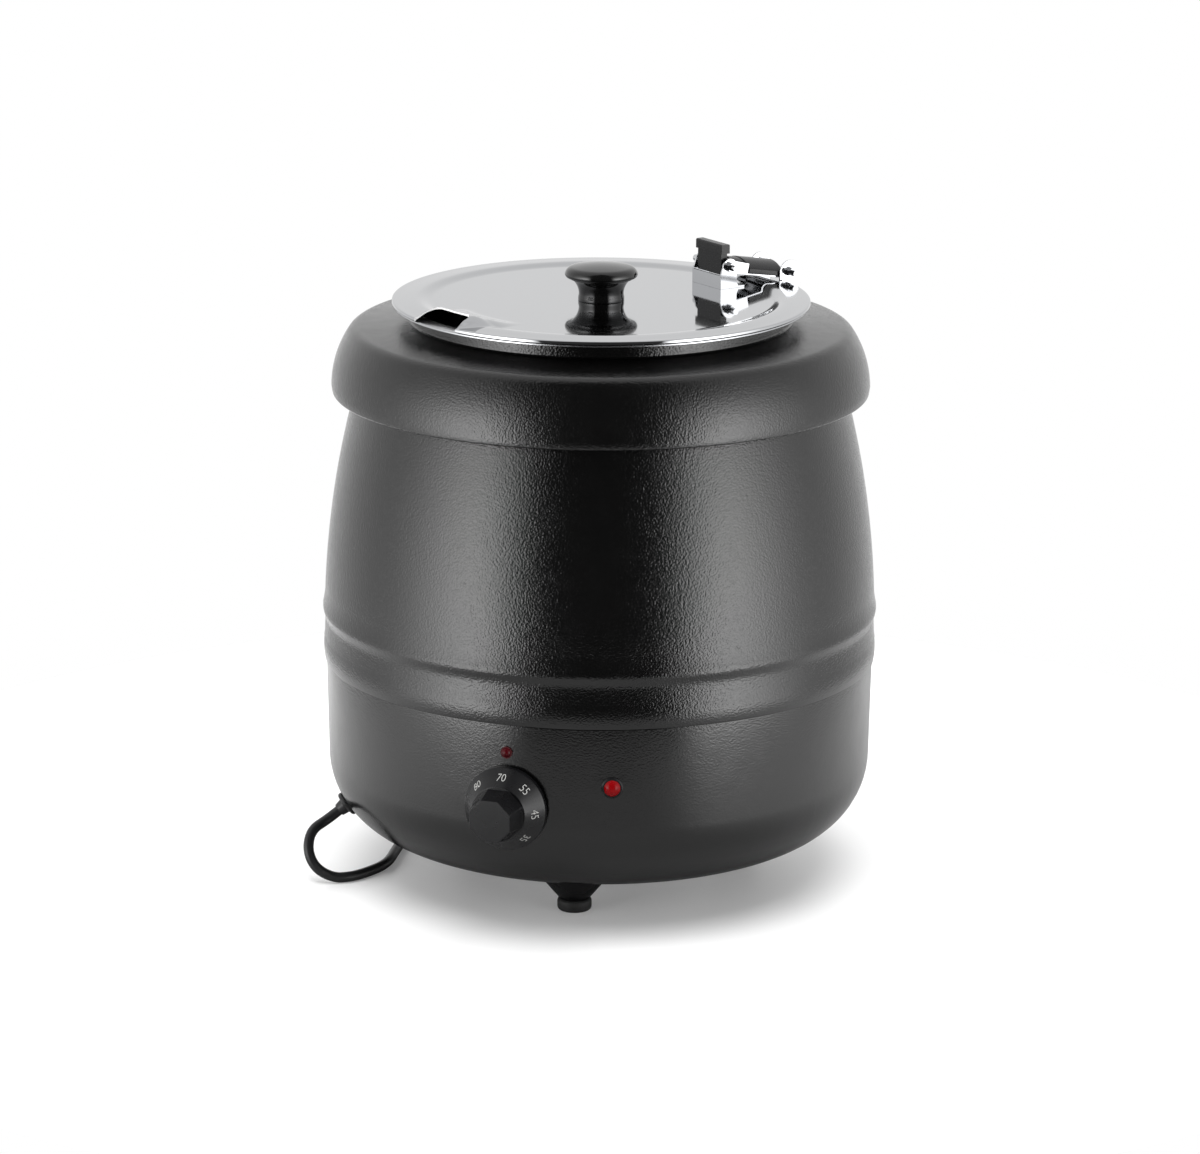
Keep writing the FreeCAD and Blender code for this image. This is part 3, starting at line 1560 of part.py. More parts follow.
def tube(edges, radius):
    """Round tube along a smooth chain of edges."""
    wire = Part.Wire(Part.__sortEdges__(edges))
    first = wire.OrderedEdges[0]
    start = first.firstVertex(True).Point
    way = first.tangentAt(first.FirstParameter if first.Orientation == "Forward" else first.LastParameter)
    if first.Orientation != "Forward":
        way = way * -1
    section = Part.Wire(Part.Circle(start, way, radius).toShape())
    return wire.makePipeShell([section], True, False)


def rounded_route(points):
    """Straight runs joined by the largest arcs that the runs allow, and the radii of the arcs."""
    edges = []
    radii = []
    current = points[0]
    for before, here, after in zip(points, points[1:], points[2:]):
        back = before - here
        ahead = after - here
        inset = 0.45 * min(back.Length, ahead.Length)
        back.normalize()
        ahead.normalize()
        half_turn = (math.pi - math.acos(max(-1.0, min(1.0, back.dot(ahead))))) / 2
        radius = inset / math.tan(half_turn)
        inward = back + ahead
        inward.normalize()
        start = here + back * inset
        end = here + ahead * inset
        middle = here + inward * (radius / math.cos(half_turn) - radius)
        edges.append(Part.LineSegment(current, start).toShape())
        edges.append(Part.Arc(start, middle, end).toShape())
        radii.append(radius)
        current = end
    edges.append(Part.LineSegment(current, points[-1]).toShape())
    return edges, radii


def self_gap(edges, radius):
    """Least gap between the turns of a tube, measured on points of its centre line."""
    spots = []
    for edge in edges:
        steps = max(2, int(edge.Length / radius))
        spots += edge.discretize(Number=steps)[:-1]
    travel = [0.0]
    for a, b in zip(spots, spots[1:]):
        travel.append(travel[-1] + a.distanceToPoint(b))
    least = math.inf
    for i, a in enumerate(spots):
        for j in range(i + 1, len(spots)):
            if travel[j] - travel[i] > radius * 8:
                least = min(least, a.distanceToPoint(spots[j]))
    return least - radius * 2


def check_tube(label, shape, edges, radius):
    length = sum(edge.Length for edge in edges)
    expected = math.pi * radius ** 2 * length
    print(f"{label}: length {length:.0f} mm, volume {shape.Volume / expected:.4f} of section times length")


def coil_state(turns):
    """Point and direction on the cord's coil: two layers that spiral in, climb and spiral out."""
    half_way = COIL_TURNS + 0.25
    shrink = half_way - abs(turns - half_way)
    radius = dim.coil_radius.value - dim.coil_pitch.value * shrink
    radius_rate = -dim.coil_pitch.value * (1 if turns < half_way else -1)
    if abs(turns - half_way) < 1e-9:
        radius_rate = 0.0
    climb = min(max((turns - COIL_TURNS) / 0.5, 0.0), 1.0)
    height = dim.cord_radius.value + FLOOR_GAP + dim.coil_layer.value * climb ** 2 * (3 - 2 * climb)
    height_rate = dim.coil_layer.value * 6 * climb * (1 - climb) / 0.5
    angle = math.pi * (1 - 2 * turns)
    angle_rate = -2 * math.pi
    around = Vector(math.cos(angle), math.sin(angle), 0)
    ahead = Vector(-math.sin(angle), math.cos(angle), 0)
    centre = Vector(dim.coil_x.value, dim.coil_y.value, height)
    way = around * radius_rate + ahead * (radius * angle_rate) + Vector(0, 0, height_rate)
    way.normalize()
    return centre + around * radius, way


FLOOR_GAP = 0.1
COIL_END = 2 * COIL_TURNS + 0.25
coil_first, coil_first_way = coil_state(0)
coil_last, coil_last_way = coil_state(COIL_END)
coil_lead = dim.cord_radius.value * 2


def make_cord_coil():
    """Spare cord wound in two layers close behind the kettle."""
    states = [coil_state(quarter / 4) for quarter in range(int(COIL_END * 4) + 1)]
    points = [point for point, way in states]
    ways = [way for point, way in states]
    lead_in = Part.LineSegment(coil_first - coil_first_way * coil_lead, coil_first).toShape()
    lead_out = Part.LineSegment(coil_last, coil_last + coil_last_way * coil_lead).toShape()
    edges = [lead_in, *wound_edges(points, ways), lead_out]
    radius = dim.cord_radius.value
    shape = tube(edges, radius)
    check_tube("cord_coil", shape, edges, radius)
    print(f"cord_coil: least gap to itself {self_gap(edges, radius):.2f} mm")
    return shape_node("cord_coil", shape)


def make_cord_lead():
    """Cord from the gland down to the floor, in under the bowl and round to the coil."""
    frame = placement_of(GLAND)
    tip = dim.bowl_corner + dim.fit_gap + dim.gland_flange_wall + dim.gland_nozzle_length
    start = frame.multVec(Vector(tip.value, 0, 0))
    way = frame.Rotation.multVec(Vector(1, 0, 0))
    low = dim.cord_radius.value + FLOOR_GAP
    end = coil_first - coil_first_way * coil_lead
    points = [
        start,
        start + way * 9,
        Vector(-170.4, -60.7, 28.4),
        Vector(-171.6, -69.9, 18.7),
        Vector(-165.2, -76.6, 9.1),
        Vector(-153.4, -79.1, low),
        Vector(-140.3, -76.6, low),
        Vector(-131.1, -68.0, low),
        Vector(-127.7, -55.8, low),
        Vector(-128.6, -37.0, low),
        Vector(-128.5, -8.0, low),
        Vector(-126.5, 30.0, low),
        Vector(-122.5, 75.0, low),
        Vector(-115.5, 120.0, low),
        Vector(-101.5, 163.0, low),
        Vector(-80.0, 203.0, low),
        end - coil_first_way * 22,
        end,
    ]
    edges, radii = rounded_route(points)
    radius = dim.cord_radius.value
    shape = tube(edges, radius)
    check_tube("cord_lead", shape, edges, radius)
    print("cord_lead radii in diameters:", [round(bend / radius / 2, 1) for bend in radii])
    return shape_node("cord_lead", shape)


plug_axis = dim.plug_radius + FLOOR_GAP


def make_cord_tail():
    """Short end of the cord from the coil up to the plug."""
    start = coil_last + coil_last_way * coil_lead
    end = Vector(dim.plug_x.value, dim.plug_y.value, plug_axis.value)
    points = [
        start,
        start + coil_last_way * 20,
        end - Vector(35, 1.2, 4.4),
        end - Vector(14, 0, 0),
        end,
    ]
    edges, radii = rounded_route(points)
    radius = dim.cord_radius.value
    shape = tube(edges, radius)
    check_tube("cord_tail", shape, edges, radius)
    print("cord_tail radii in diameters:", [round(bend / radius / 2, 1) for bend in radii])
    return shape_node("cord_tail", shape)


def make_cord_gland():
    """Snap-in bushing with a strain-relief nozzle, square to the bowl's rounded corner."""
    body = new_body("cord_gland", *GLAND)
    surface = dim.bowl_corner
    inside = surface - dim.shell_wall - dim.gland_snap_gap
    seat = surface + dim.fit_gap
    flange = seat + dim.gland_flange_wall
    edge = dim.gland_flange_wall / 3
    revolve(outline(new_sketch(body, "XZ_Plane"), [
        (inside - dim.gland_tail, 0),
        (flange + dim.gland_nozzle_length, 0),
        (flange + dim.gland_nozzle_length, dim.gland_nozzle_tip),
        (flange, dim.gland_nozzle_radius),
        (flange, dim.gland_flange_radius - edge),
        (flange - edge, dim.gland_flange_radius),
        (seat, dim.gland_flange_radius),
        (seat, dim.gland_neck_radius),
        (inside, dim.gland_neck_radius),
        (inside, dim.gland_neck_radius + dim.shell_wall),
        (inside - dim.gland_tail, dim.gland_neck_radius - dim.shell_wall),
    ]), axis="H_Axis")
    return keep(body)


def make_plug():
    """Round mains plug lying on the floor, its cord end towards the coil."""
    steps = [shift(dim.plug_x, dim.plug_y, plug_axis)]
    body = new_body("plug_body", *steps)
    face = dim.plug_length
    shoulder = face - dim.plug_face_length
    edge = dim.plug_radius / 9
    revolve(outline(new_sketch(body, "XZ_Plane"), [
        (0, 0),
        (face, 0),
        (face, dim.plug_radius - edge),
        (face - edge, dim.plug_radius),
        (shoulder, dim.plug_radius), left(dim.plug_radius),
        (dim.plug_neck_length, dim.plug_neck_radius + edge),
        (0, dim.plug_neck_radius),
    ]), axis="H_Axis")
    keep(body)
    pins = new_body("plug_pins", *steps)
    sketch = new_sketch(pins, "YZ_Plane", shift(0, 0, face))
    circle(sketch, dim.plug_pin_spacing / 2, 0, dim.plug_pin_radius)
    mirrored(pad(sketch, dim.plug_pin_length))
    keep(pins)


def make_tab_spring():
    """Torsion spring on the front pin: one leg on the bracket's foot, one behind the tab."""
    radius = dim.spring_radius.value
    wire = dim.spring_wire.value / 2
    pitch = dim.spring_pitch.value
    quarters = int(dim.spring_turns.value * 4)
    half_length = pitch * dim.spring_turns.value / 2
    foot = dim.front_pin_height.value - dim.bracket_wall.value - wire * 2

    def state(quarter):
        angle = quarter * math.pi / 2
        around = Vector(math.cos(angle), 0, math.sin(angle)) * radius
        ease = min(quarter, quarters - quarter, 1)
        way = Vector(-math.sin(angle), pitch / (2 * math.pi * radius) * ease, math.cos(angle))
        way.normalize()
        return around + Vector(0, quarter * pitch / 4 - half_length, 0), way

    points, ways = zip(*[state(quarter) for quarter in range(quarters + 1)])
    leg_down = Part.LineSegment(points[0] - Vector(0, 0, foot), points[0]).toShape()
    leg_up = Part.LineSegment(points[-1], points[-1] + Vector(0, 0, radius * 1.5)).toShape()
    edges = [leg_down, *wound_edges(points, ways), leg_up]
    shape = tube(edges, wire)
    check_tube("tab_spring", shape, edges, wire)
    print(f"tab_spring: least gap to itself {self_gap(edges, wire):.2f} mm")
    feature = shape_node("tab_spring", shape)
    place(feature, *HINGE, shift(dim.front_pin_reach, 0, front_pin_z))
    return feature


# Assembly

make_lower_bowl()
make_barrel_shell()
make_top_collar()
for foot_index in range(FOOT_COUNT):
    make_foot(foot_index)
make_foot_screws()
make_water_pan()
make_heater_plate()
make_heating_element()
make_element_clamp()
make_tie_stud()
make_tie_nut("clamp_nut", clamp_bottom)
make_tie_washer()
make_tie_nut("tie_nut", dim.bowl_floor - dim.tie_washer_wall)
make_thermal_cutout()
make_terminal_block()
make_thermostat_body()
make_thermostat_screws()
make_dial_shaft()
make_dial_knob()
make_lamp_bezel()
make_lamp_lens()
make_lamp_body()
make_pointer_light()
make_soup_pot()
make_rim_clip()
make_pin("rear_pin", dim.rear_pin_reach, rear_pin_z, dim.clip_width / 2 + dim.nut_height + dim.pin_end)
make_nuts("rear_pin_nuts", dim.rear_pin_reach, rear_pin_z, dim.clip_width / 2)
make_lid_shell()
make_lid_knob()
make_knob_screw()
make_lid_bracket()
make_bracket_rivets()
make_pin("front_pin", dim.front_pin_reach, front_pin_z, dim.bracket_width / 2 + dim.nut_height + dim.pin_end)
make_nuts("front_pin_nuts", dim.front_pin_reach, front_pin_z, dim.bracket_width / 2)
make_hinge_arm()
make_arm_cover()
make_release_tab()
make_tab_spring()
make_cord_gland()
make_cord_lead()
make_cord_coil()
make_cord_tail()
make_plug()

document.recompute()

# Every object is sound before anything is written
for item in document.Objects:
    if "Invalid" in item.State or "Error" in item.State:
        raise RuntimeError(f"{item.Label} failed: {item.State}")
for item in nodes:
    if item.Shape.isNull() or not item.Shape.isValid() or not item.Shape.Solids:
        raise RuntimeError(f"{item.Label} has no valid shape")

os.makedirs("parts", exist_ok=True)
for item in nodes:
    item.Shape.exportStep(f"parts/{item.Label}.step")
    print(item.Label, len(item.Shape.Solids), f"{item.Shape.Volume:.1f}")
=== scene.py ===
import functools
import json
import math

import bmesh
import bpy
from bpy.props import FloatProperty, FloatVectorProperty, IntProperty, PointerProperty
from mathutils import Matrix, Quaternion, Vector

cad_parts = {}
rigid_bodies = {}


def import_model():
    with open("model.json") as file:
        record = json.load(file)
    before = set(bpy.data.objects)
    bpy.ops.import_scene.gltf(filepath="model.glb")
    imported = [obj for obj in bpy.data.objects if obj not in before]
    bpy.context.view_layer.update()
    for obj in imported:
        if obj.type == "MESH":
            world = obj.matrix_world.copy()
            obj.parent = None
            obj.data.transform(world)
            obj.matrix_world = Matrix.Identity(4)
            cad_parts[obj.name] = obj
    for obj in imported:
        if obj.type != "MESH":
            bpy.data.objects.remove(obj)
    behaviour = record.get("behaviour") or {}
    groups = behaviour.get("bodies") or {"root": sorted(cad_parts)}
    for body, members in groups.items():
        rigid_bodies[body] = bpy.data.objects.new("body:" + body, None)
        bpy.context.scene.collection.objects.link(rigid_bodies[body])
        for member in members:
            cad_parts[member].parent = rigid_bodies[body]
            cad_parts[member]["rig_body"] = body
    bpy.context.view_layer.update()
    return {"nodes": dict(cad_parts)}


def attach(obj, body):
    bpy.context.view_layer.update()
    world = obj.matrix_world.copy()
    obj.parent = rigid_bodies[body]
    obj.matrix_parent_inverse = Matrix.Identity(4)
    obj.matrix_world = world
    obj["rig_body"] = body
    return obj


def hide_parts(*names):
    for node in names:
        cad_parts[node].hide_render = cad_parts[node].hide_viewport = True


bl_info = {
    "name": "Soup kettle",
    "version": (1, 0, 0),
    "blender": (4, 5, 0),
    "location": "3D View > Sidebar > Kettle",
    "description": "Dresses the soup kettle's frame: painted body, steel pot and lid, hinge, dial and cord",
    "category": "Object",
}

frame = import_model()
MM = 0.001


def linear(code):
    """Linear colour from an sRGB hex value."""
    parts = [int(code[place:place + 2], 16) / 255 for place in (1, 3, 5)]
    return tuple(
        part / 12.92 if part <= 0.04045 else ((part + 0.055) / 1.055) ** 2.4
        for part in parts
    )


def eased(share):
    """Smooth step from 0 to 1."""
    share = min(max(share, 0), 1)
    return share * share * (3 - 2 * share)


def linked(name, data):
    """New object of a mesh, curve, lamp or camera, linked to the scene."""
    made = bpy.data.objects.new(name, data)
    bpy.context.scene.collection.objects.link(made)
    return made


def feed(tree, node, inputs):
    """Fills or links a node's inputs. A node given as a value stands for its first output in use."""
    for name, value in inputs.items():
        if isinstance(value, bpy.types.Node):
            value = next(output for output in value.outputs if output.enabled)
        if isinstance(value, bpy.types.NodeSocket):
            tree.links.new(value, node.inputs[name])
        else:
            node.inputs[name].default_value = value


def spoke(angle):
    """Unit vector at an angle from the first axis of a plane."""
    return Vector((math.cos(angle), math.sin(angle)))


def add(tree, kind, inputs=None, **settings):
    """Adds a node, sets its properties, and fills or links its inputs."""
    made = tree.nodes.new(kind)
    for name, value in settings.items():
        setattr(made, name, value)
    feed(tree, made, inputs or {})
    return made


# User settings

class KettleShape(bpy.types.PropertyGroup):
    steps_round: IntProperty(
        name="Steps round", description="Faces round a turned piece", default=224, min=48, max=512)
    sheet_edge: FloatProperty(
        name="Sheet edge", description="Round on the edges of pressed sheet",
        default=0.4 * MM, min=0.05 * MM, max=0.5 * MM, unit="LENGTH")
    moulded_edge: FloatProperty(
        name="Moulded edge", description="Round on the edges of moulded plastic",
        default=0.5 * MM, min=0.1 * MM, max=1.0 * MM, unit="LENGTH")
    digit_height: FloatProperty(
        name="Digit height", description="Height of the numbers on the dial",
        default=5.6 * MM, min=2 * MM, max=8 * MM, unit="LENGTH")
    digit_circle: FloatProperty(
        name="Digit circle", description="Radius at the middle of the dial's numbers",
        default=20.9 * MM, min=17 * MM, max=24 * MM, unit="LENGTH")
    cord_diameter: FloatProperty(
        name="Cord diameter", description="Outer diameter of the mains cord",
        default=6.4 * MM, min=4 * MM, max=9 * MM, unit="LENGTH")
    strap_width: FloatProperty(
        name="Strap width", description="Width of the strap round the coiled cord",
        default=10 * MM, min=4 * MM, max=20 * MM, unit="LENGTH")


class KettleFinish(bpy.types.PropertyGroup):
    coat: FloatVectorProperty(
        name="Coat", description="Colour of the painted body", subtype="COLOR",
        default=linear("#040404"), min=0, max=1)
    coat_grain: FloatProperty(
        name="Coat grain", description="Width of the orange peel in the painted body",
        default=1.15 * MM, min=0.4 * MM, max=6 * MM, unit="LENGTH")
    steel: FloatVectorProperty(
        name="Polished steel", description="Colour of the lid", subtype="COLOR",
        default=linear("#b1b2b4"), min=0, max=1)
    lens: FloatVectorProperty(
        name="Lens", description="Colour of the lamp and the pointer light", subtype="COLOR",
        default=linear("#79060a"), min=0, max=1)
    plastic: FloatVectorProperty(
        name="Plastic", description="Colour of the dial, thumb tab and feet", subtype="COLOR",
        default=linear("#0b0b0c"), min=0, max=1)


class KettleStage(bpy.types.PropertyGroup):
    azimuth: FloatProperty(
        name="Camera azimuth", description="Turn of the camera round the kettle",
        default=math.radians(8.8), subtype="ANGLE")
    elevation: FloatProperty(
        name="Camera elevation", description="Height of the camera over the horizon",
        default=math.radians(15.0), subtype="ANGLE")
    roll: FloatProperty(
        name="Camera roll", description="Lean of the camera", default=math.radians(0.3), subtype="ANGLE")
    distance: FloatProperty(
        name="Camera distance", description="From the camera to the kettle's axis",
        default=2.972, min=0.5, max=10, unit="LENGTH")
    lens: FloatProperty(
        name="Lens", description="Focal length", default=144.0, min=20, max=400, unit="CAMERA")
    softbox: FloatProperty(
        name="Softboxes", description="Brightness of the tall lights at both sides",
        default=7.0, min=0, max=30)
    overhead: FloatProperty(
        name="Overhead light", description="Power of the wide light over the kettle",
        default=95.0, min=0, max=300, unit="POWER")
    floor_radius: FloatProperty(
        name="Floor", description="Radius of the pale floor", default=0.56, min=0.3, max=4, unit="LENGTH")


# Finishes

# The part of its range that a noise fills
NOISE_SPAN = {"From Min": 0.3, "From Max": 0.7}


def new_finish(name, values=None):
    """New material with its shader's even values set, and the coordinates of the piece it is on."""
    material = bpy.data.materials.new(name)
    material.use_nodes = True
    tree = material.node_tree
    shader = tree.nodes["Principled BSDF"]
    feed(tree, shader, values or {})
    place = add(tree, "ShaderNodeTexCoord").outputs["Object"]
    return material, tree, shader, place


def mottle(tree, shader, place, width, detail, colours=None, gloss=None, relief=None):
    """Lets one noise run a shader's colour or roughness between two ends, or raise its skin."""
    noise = add(tree, "ShaderNodeTexNoise", {"Vector": place, "Scale": 1 / width, "Detail": detail})
    if colours:
        first, second = ((*colour, 1) for colour in colours)
        mixed = add(tree, "ShaderNodeMix", {"Factor": noise, "A": first, "B": second}, data_type="RGBA")
        feed(tree, shader, {"Base Color": mixed})
    if gloss:
        low, high = gloss
        rough = add(tree, "ShaderNodeMapRange", {"Value": noise, **NOISE_SPAN, "To Min": low, "To Max": high})
        feed(tree, shader, {"Roughness": rough})
    if relief:
        strength, depth = relief
        bump = add(tree, "ShaderNodeBump", {"Height": noise, "Strength": strength, "Distance": depth})
        feed(tree, shader, {"Normal": bump})


def powder_coat():
    """Polyester powder coat, sprayed and baked: black, with an orange peel that lies flatter on the bowl."""
    chosen = bpy.context.scene.kettle_finish
    material, tree, shader, place = new_finish("powder_coated_steel")
    peel = add(tree, "ShaderNodeTexNoise", {
        "Vector": place, "Scale": 1 / chosen.coat_grain, "Detail": 1.5, "Roughness": 0.5,
    })
    flow = add(tree, "ShaderNodeTexNoise", {"Vector": place, "Scale": 1 / (14 * MM), "Detail": 2.0})
    tint = tuple(chosen.coat)
    colour = add(tree, "ShaderNodeMix", {
        "Factor": peel, "A": (*tint, 1), "B": (*(part * 1.5 for part in tint), 1),
    }, data_type="RGBA")
    gloss = add(tree, "ShaderNodeMapRange", {"Value": flow, **NOISE_SPAN, "To Min": 0.15, "To Max": 0.2})
    waves = add(tree, "ShaderNodeBump", {"Height": flow, "Strength": 0.06, "Distance": 1 * MM})
    height = add(tree, "ShaderNodeSeparateXYZ", {"Vector": place}).outputs["Z"]
    depth = add(tree, "ShaderNodeMapRange", {
        "Value": height, "From Min": 130 * MM, "From Max": 150 * MM, "To Min": 0.3, "To Max": 1.0,
    })
    bump = add(tree, "ShaderNodeBump", {
        "Height": peel, "Strength": depth, "Distance": 0.27 * MM, "Normal": waves,
    })
    feed(tree, shader, {"Base Color": colour, "Roughness": gloss, "Normal": bump})
    return material


def mirror_steel():
    """Stainless sheet polished on a wheel: a clear mirror with faint haze where it was wiped."""
    material, tree, shader, place = new_finish("mirror_polished_steel", {
        "Base Color": (*bpy.context.scene.kettle_finish.steel, 1), "Metallic": 1.0,
    })
    haze = add(tree, "ShaderNodeTexNoise", {
        "Vector": place, "Scale": 1 / (45 * MM), "Detail": 4.0, "Roughness": 0.6,
    })
    gloss = add(tree, "ShaderNodeMapRange", {"Value": haze, **NOISE_SPAN, "To Min": 0.035, "To Max": 0.075})
    feed(tree, shader, {"Roughness": gloss})
    return material


def spun_steel():
    """Stainless sheet spun on a lathe: satin, with turning lines drawn at 1.4 mm so that they show."""
    material, tree, shader, place = new_finish("spun_satin_steel", {"Metallic": 1.0})
    waves = {"Vector": place, "Scale": math.pi / 10 / (1.4 * MM), "Distortion": 1.2, "Detail": 3.0}
    floor_lines = add(tree, "ShaderNodeTexWave", waves, wave_type="RINGS", rings_direction="Z").outputs["Fac"]
    wall_lines = add(tree, "ShaderNodeTexWave", waves, wave_type="BANDS", bands_direction="Z").outputs["Fac"]
    lines = add(tree, "ShaderNodeMath", {0: floor_lines, 1: wall_lines}, operation="ADD")
    mottle(tree, shader, place, 30 * MM, 3.0, (linear("#aaabad"), linear("#b3b4b6")), (0.25, 0.28))
    bump = add(tree, "ShaderNodeBump", {"Height": lines, "Strength": 0.05, "Distance": 0.1 * MM})
    feed(tree, shader, {"Normal": bump})
    return material


def chrome():
    """Bright chromium plate on pressed steel: a hard white mirror with a trace of haze."""
    material, tree, shader, place = new_finish("bright_chrome_plate", {
        "Base Color": (*linear("#c3c4c6"), 1), "Metallic": 1.0,
    })
    mottle(tree, shader, place, 6 * MM, 3.0, gloss=(0.05, 0.11))
    return material


def zinc_plate():
    """Zinc plate on turned steel: grey, with cloudy patches from the bath."""
    material, tree, shader, place = new_finish("zinc_plated_steel", {"Metallic": 1.0})
    mottle(tree, shader, place, 2.5 * MM, 4.0, (linear("#8f8f8c"), linear("#b4b3ad")), (0.26, 0.4))
    return material


def gloss_phenolic():
    """Phenolic resin pressed in a polished mould: deep black gloss with slight flow."""
    material, tree, shader, place = new_finish("pressed_phenolic_resin")
    mottle(
        tree, shader, place, 7 * MM, 2.0, (linear("#060606"), linear("#0b0b0b")), (0.09, 0.14),
        relief=(0.04, 0.5 * MM))
    return material


def moulded_nylon():
    """Nylon from a sparked mould: semi-matt black with a fine even grain."""
    material, tree, shader, place = new_finish("moulded_nylon", {"Specular IOR Level": 0.28})
    tint = tuple(bpy.context.scene.kettle_finish.plastic)
    mottle(tree, shader, place, 12 * MM, 2.0, (tint, [part * 1.5 for part in tint]), (0.24, 0.3))
    mottle(tree, shader, place, 0.7 * MM, 2.0, relief=(0.12, 0.1 * MM))
    return material


def foot_rubber():
    """Moulded rubber: dull black, a little chalky."""
    material, tree, shader, place = new_finish("moulded_rubber")
    mottle(tree, shader, place, 3 * MM, 4.0, (linear("#0d0d0d"), linear("#191919")), (0.6, 0.78))
    return material


def cord_sheath():
    """Extruded rubber sheath: smooth and dark, with a low sheen along its length."""
    material, tree, shader, place = new_finish("extruded_cord_sheath")
    mottle(
        tree, shader, place, 1.2 * MM, 3.0, (linear("#101011"), linear("#181819")), (0.36, 0.46),
        relief=(0.08, 0.1 * MM))
    return material


def red_lens():
    """Polycarbonate dyed in the mass: deep red with a glossy skin and moulding streaks."""
    material, tree, shader, place = new_finish("red_polycarbonate", {
        "Roughness": 0.15, "Specular IOR Level": 0.1,
    })
    tint = tuple(bpy.context.scene.kettle_finish.lens)
    mottle(tree, shader, place, 3 * MM, 2.0, (tint, [part * 0.75 for part in tint]))
    return material


def dark_lens():
    """Thick polycarbonate over an unlit lamp: the same red gone almost black, with a glossy skin."""
    material, tree, shader, place = new_finish("dark_red_polycarbonate", {
        "Roughness": 0.15, "Specular IOR Level": 0.12,
    })
    mottle(tree, shader, place, 2 * MM, 2.0, (linear("#3f080e"), linear("#30060b")))
    return material


def cast_aluminium():
    """Cast aluminium: pale grey and grainy."""
    material, tree, shader, place = new_finish("cast_aluminium", {"Metallic": 1.0})
    mottle(
        tree, shader, place, 1.5 * MM, 4.0, (linear("#a9abad"), linear("#c4c6c8")), (0.42, 0.6),
        relief=(0.2, 0.2 * MM))
    return material


def pressed_ceramic():
    """Steatite ceramic pressed and fired: off-white, dry, finely speckled."""
    material, tree, shader, place = new_finish("pressed_ceramic")
    mottle(tree, shader, place, 0.9 * MM, 3.0, (linear("#d9d5cb"), linear("#ece9e1")), (0.5, 0.65))
    return material


def nickel_plate():
    """Nickel plate on turned brass: warm grey with fine turning haze."""
    material, tree, shader, place = new_finish("nickel_plated_brass", {"Metallic": 1.0})
    mottle(tree, shader, place, 1.5 * MM, 3.0, (linear("#b5b0a4"), linear("#c9c5bb")), (0.16, 0.28))
    return material


def printed_ink():
    """Pad-printed ink: thin pale grey, a little uneven."""
    material, tree, shader, place = new_finish("pad_printed_ink")
    mottle(tree, shader, place, 0.8 * MM, 3.0, (linear("#8c8c8a"), linear("#b4b4b1")), (0.5, 0.65))
    return material


def woven_strap():
    """Woven nylon strap: threads at 0.9 mm across and along."""
    material, tree, shader, place = new_finish("woven_nylon_strap", {"Roughness": 0.75})
    threads = {"Vector": place, "Scale": math.pi / 10 / (0.9 * MM)}
    warp = add(tree, "ShaderNodeTexWave", threads, bands_direction="X").outputs["Fac"]
    weft = add(tree, "ShaderNodeTexWave", threads, bands_direction="Y").outputs["Fac"]
    weave = add(tree, "ShaderNodeMath", {0: warp, 1: weft}, operation="MULTIPLY")
    colour = add(tree, "ShaderNodeMix", {
        "Factor": weave, "A": (*linear("#0c0c0d"), 1), "B": (*linear("#1f1f21"), 1),
    }, data_type="RGBA")
    bump = add(tree, "ShaderNodeBump", {"Height": weave, "Strength": 0.5, "Distance": 0.3 * MM})
    feed(tree, shader, {"Base Color": colour, "Normal": bump})
    return material


FINISHES = {
    "painted_black": powder_coat,
    "mirror_steel": mirror_steel,
    "satin_steel": spun_steel,
    "hinge_chrome": chrome,
    "zinc_steel": zinc_plate,
    "knob_black": gloss_phenolic,
    "moulded_black": moulded_nylon,
    "pad_rubber": foot_rubber,
    "cord_rubber": cord_sheath,
    "red_lens": red_lens,
    "pointer_lens": dark_lens,
    "heater_aluminium": cast_aluminium,
    "terminal_white": pressed_ceramic,
    "plug_metal": nickel_plate,
    "dial_ink": printed_ink,
    "strap": woven_strap,
}


@functools.cache
def finish(slot):
    """The finish for a slot, made once."""
    return FINISHES[slot]()


# Meshes

# Bends that are eased, creased or left out, the steps of an arc, and how near points count as one
EASED_BEND = math.radians(25)
EASED_SHARE = 0.45
EASED_STEPS = 4
CREASE = math.radians(40)
FLAT_BEND = math.radians(0.4)
ARC_STEP, ARC_LEAST, ARC_MOST = 1.2, 3, 40
WELD = 1e-6
SEAM_WELD = 2e-6


def new_piece(name, mesh, body, stands_for=()):
    """Links a finished mesh and ties it to a body of the frame."""
    piece = linked(name, mesh)
    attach(piece, body)
    if stands_for:
        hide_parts(*stands_for)
    return piece


def settled(work, name):
    """Mesh of what was worked out in bmesh, which is freed."""
    mesh = bpy.data.meshes.new(name)
    work.to_mesh(mesh)
    work.free()
    return mesh


def plain(holder, **options):
    """Mesh of an object as its modifiers leave it. The object is removed."""
    graph = bpy.context.evaluated_depsgraph_get()
    mesh = bpy.data.meshes.new_from_object(holder.evaluated_get(graph), depsgraph=graph, **options)
    holder.modifiers.clear()
    bpy.data.objects.remove(holder)
    return mesh


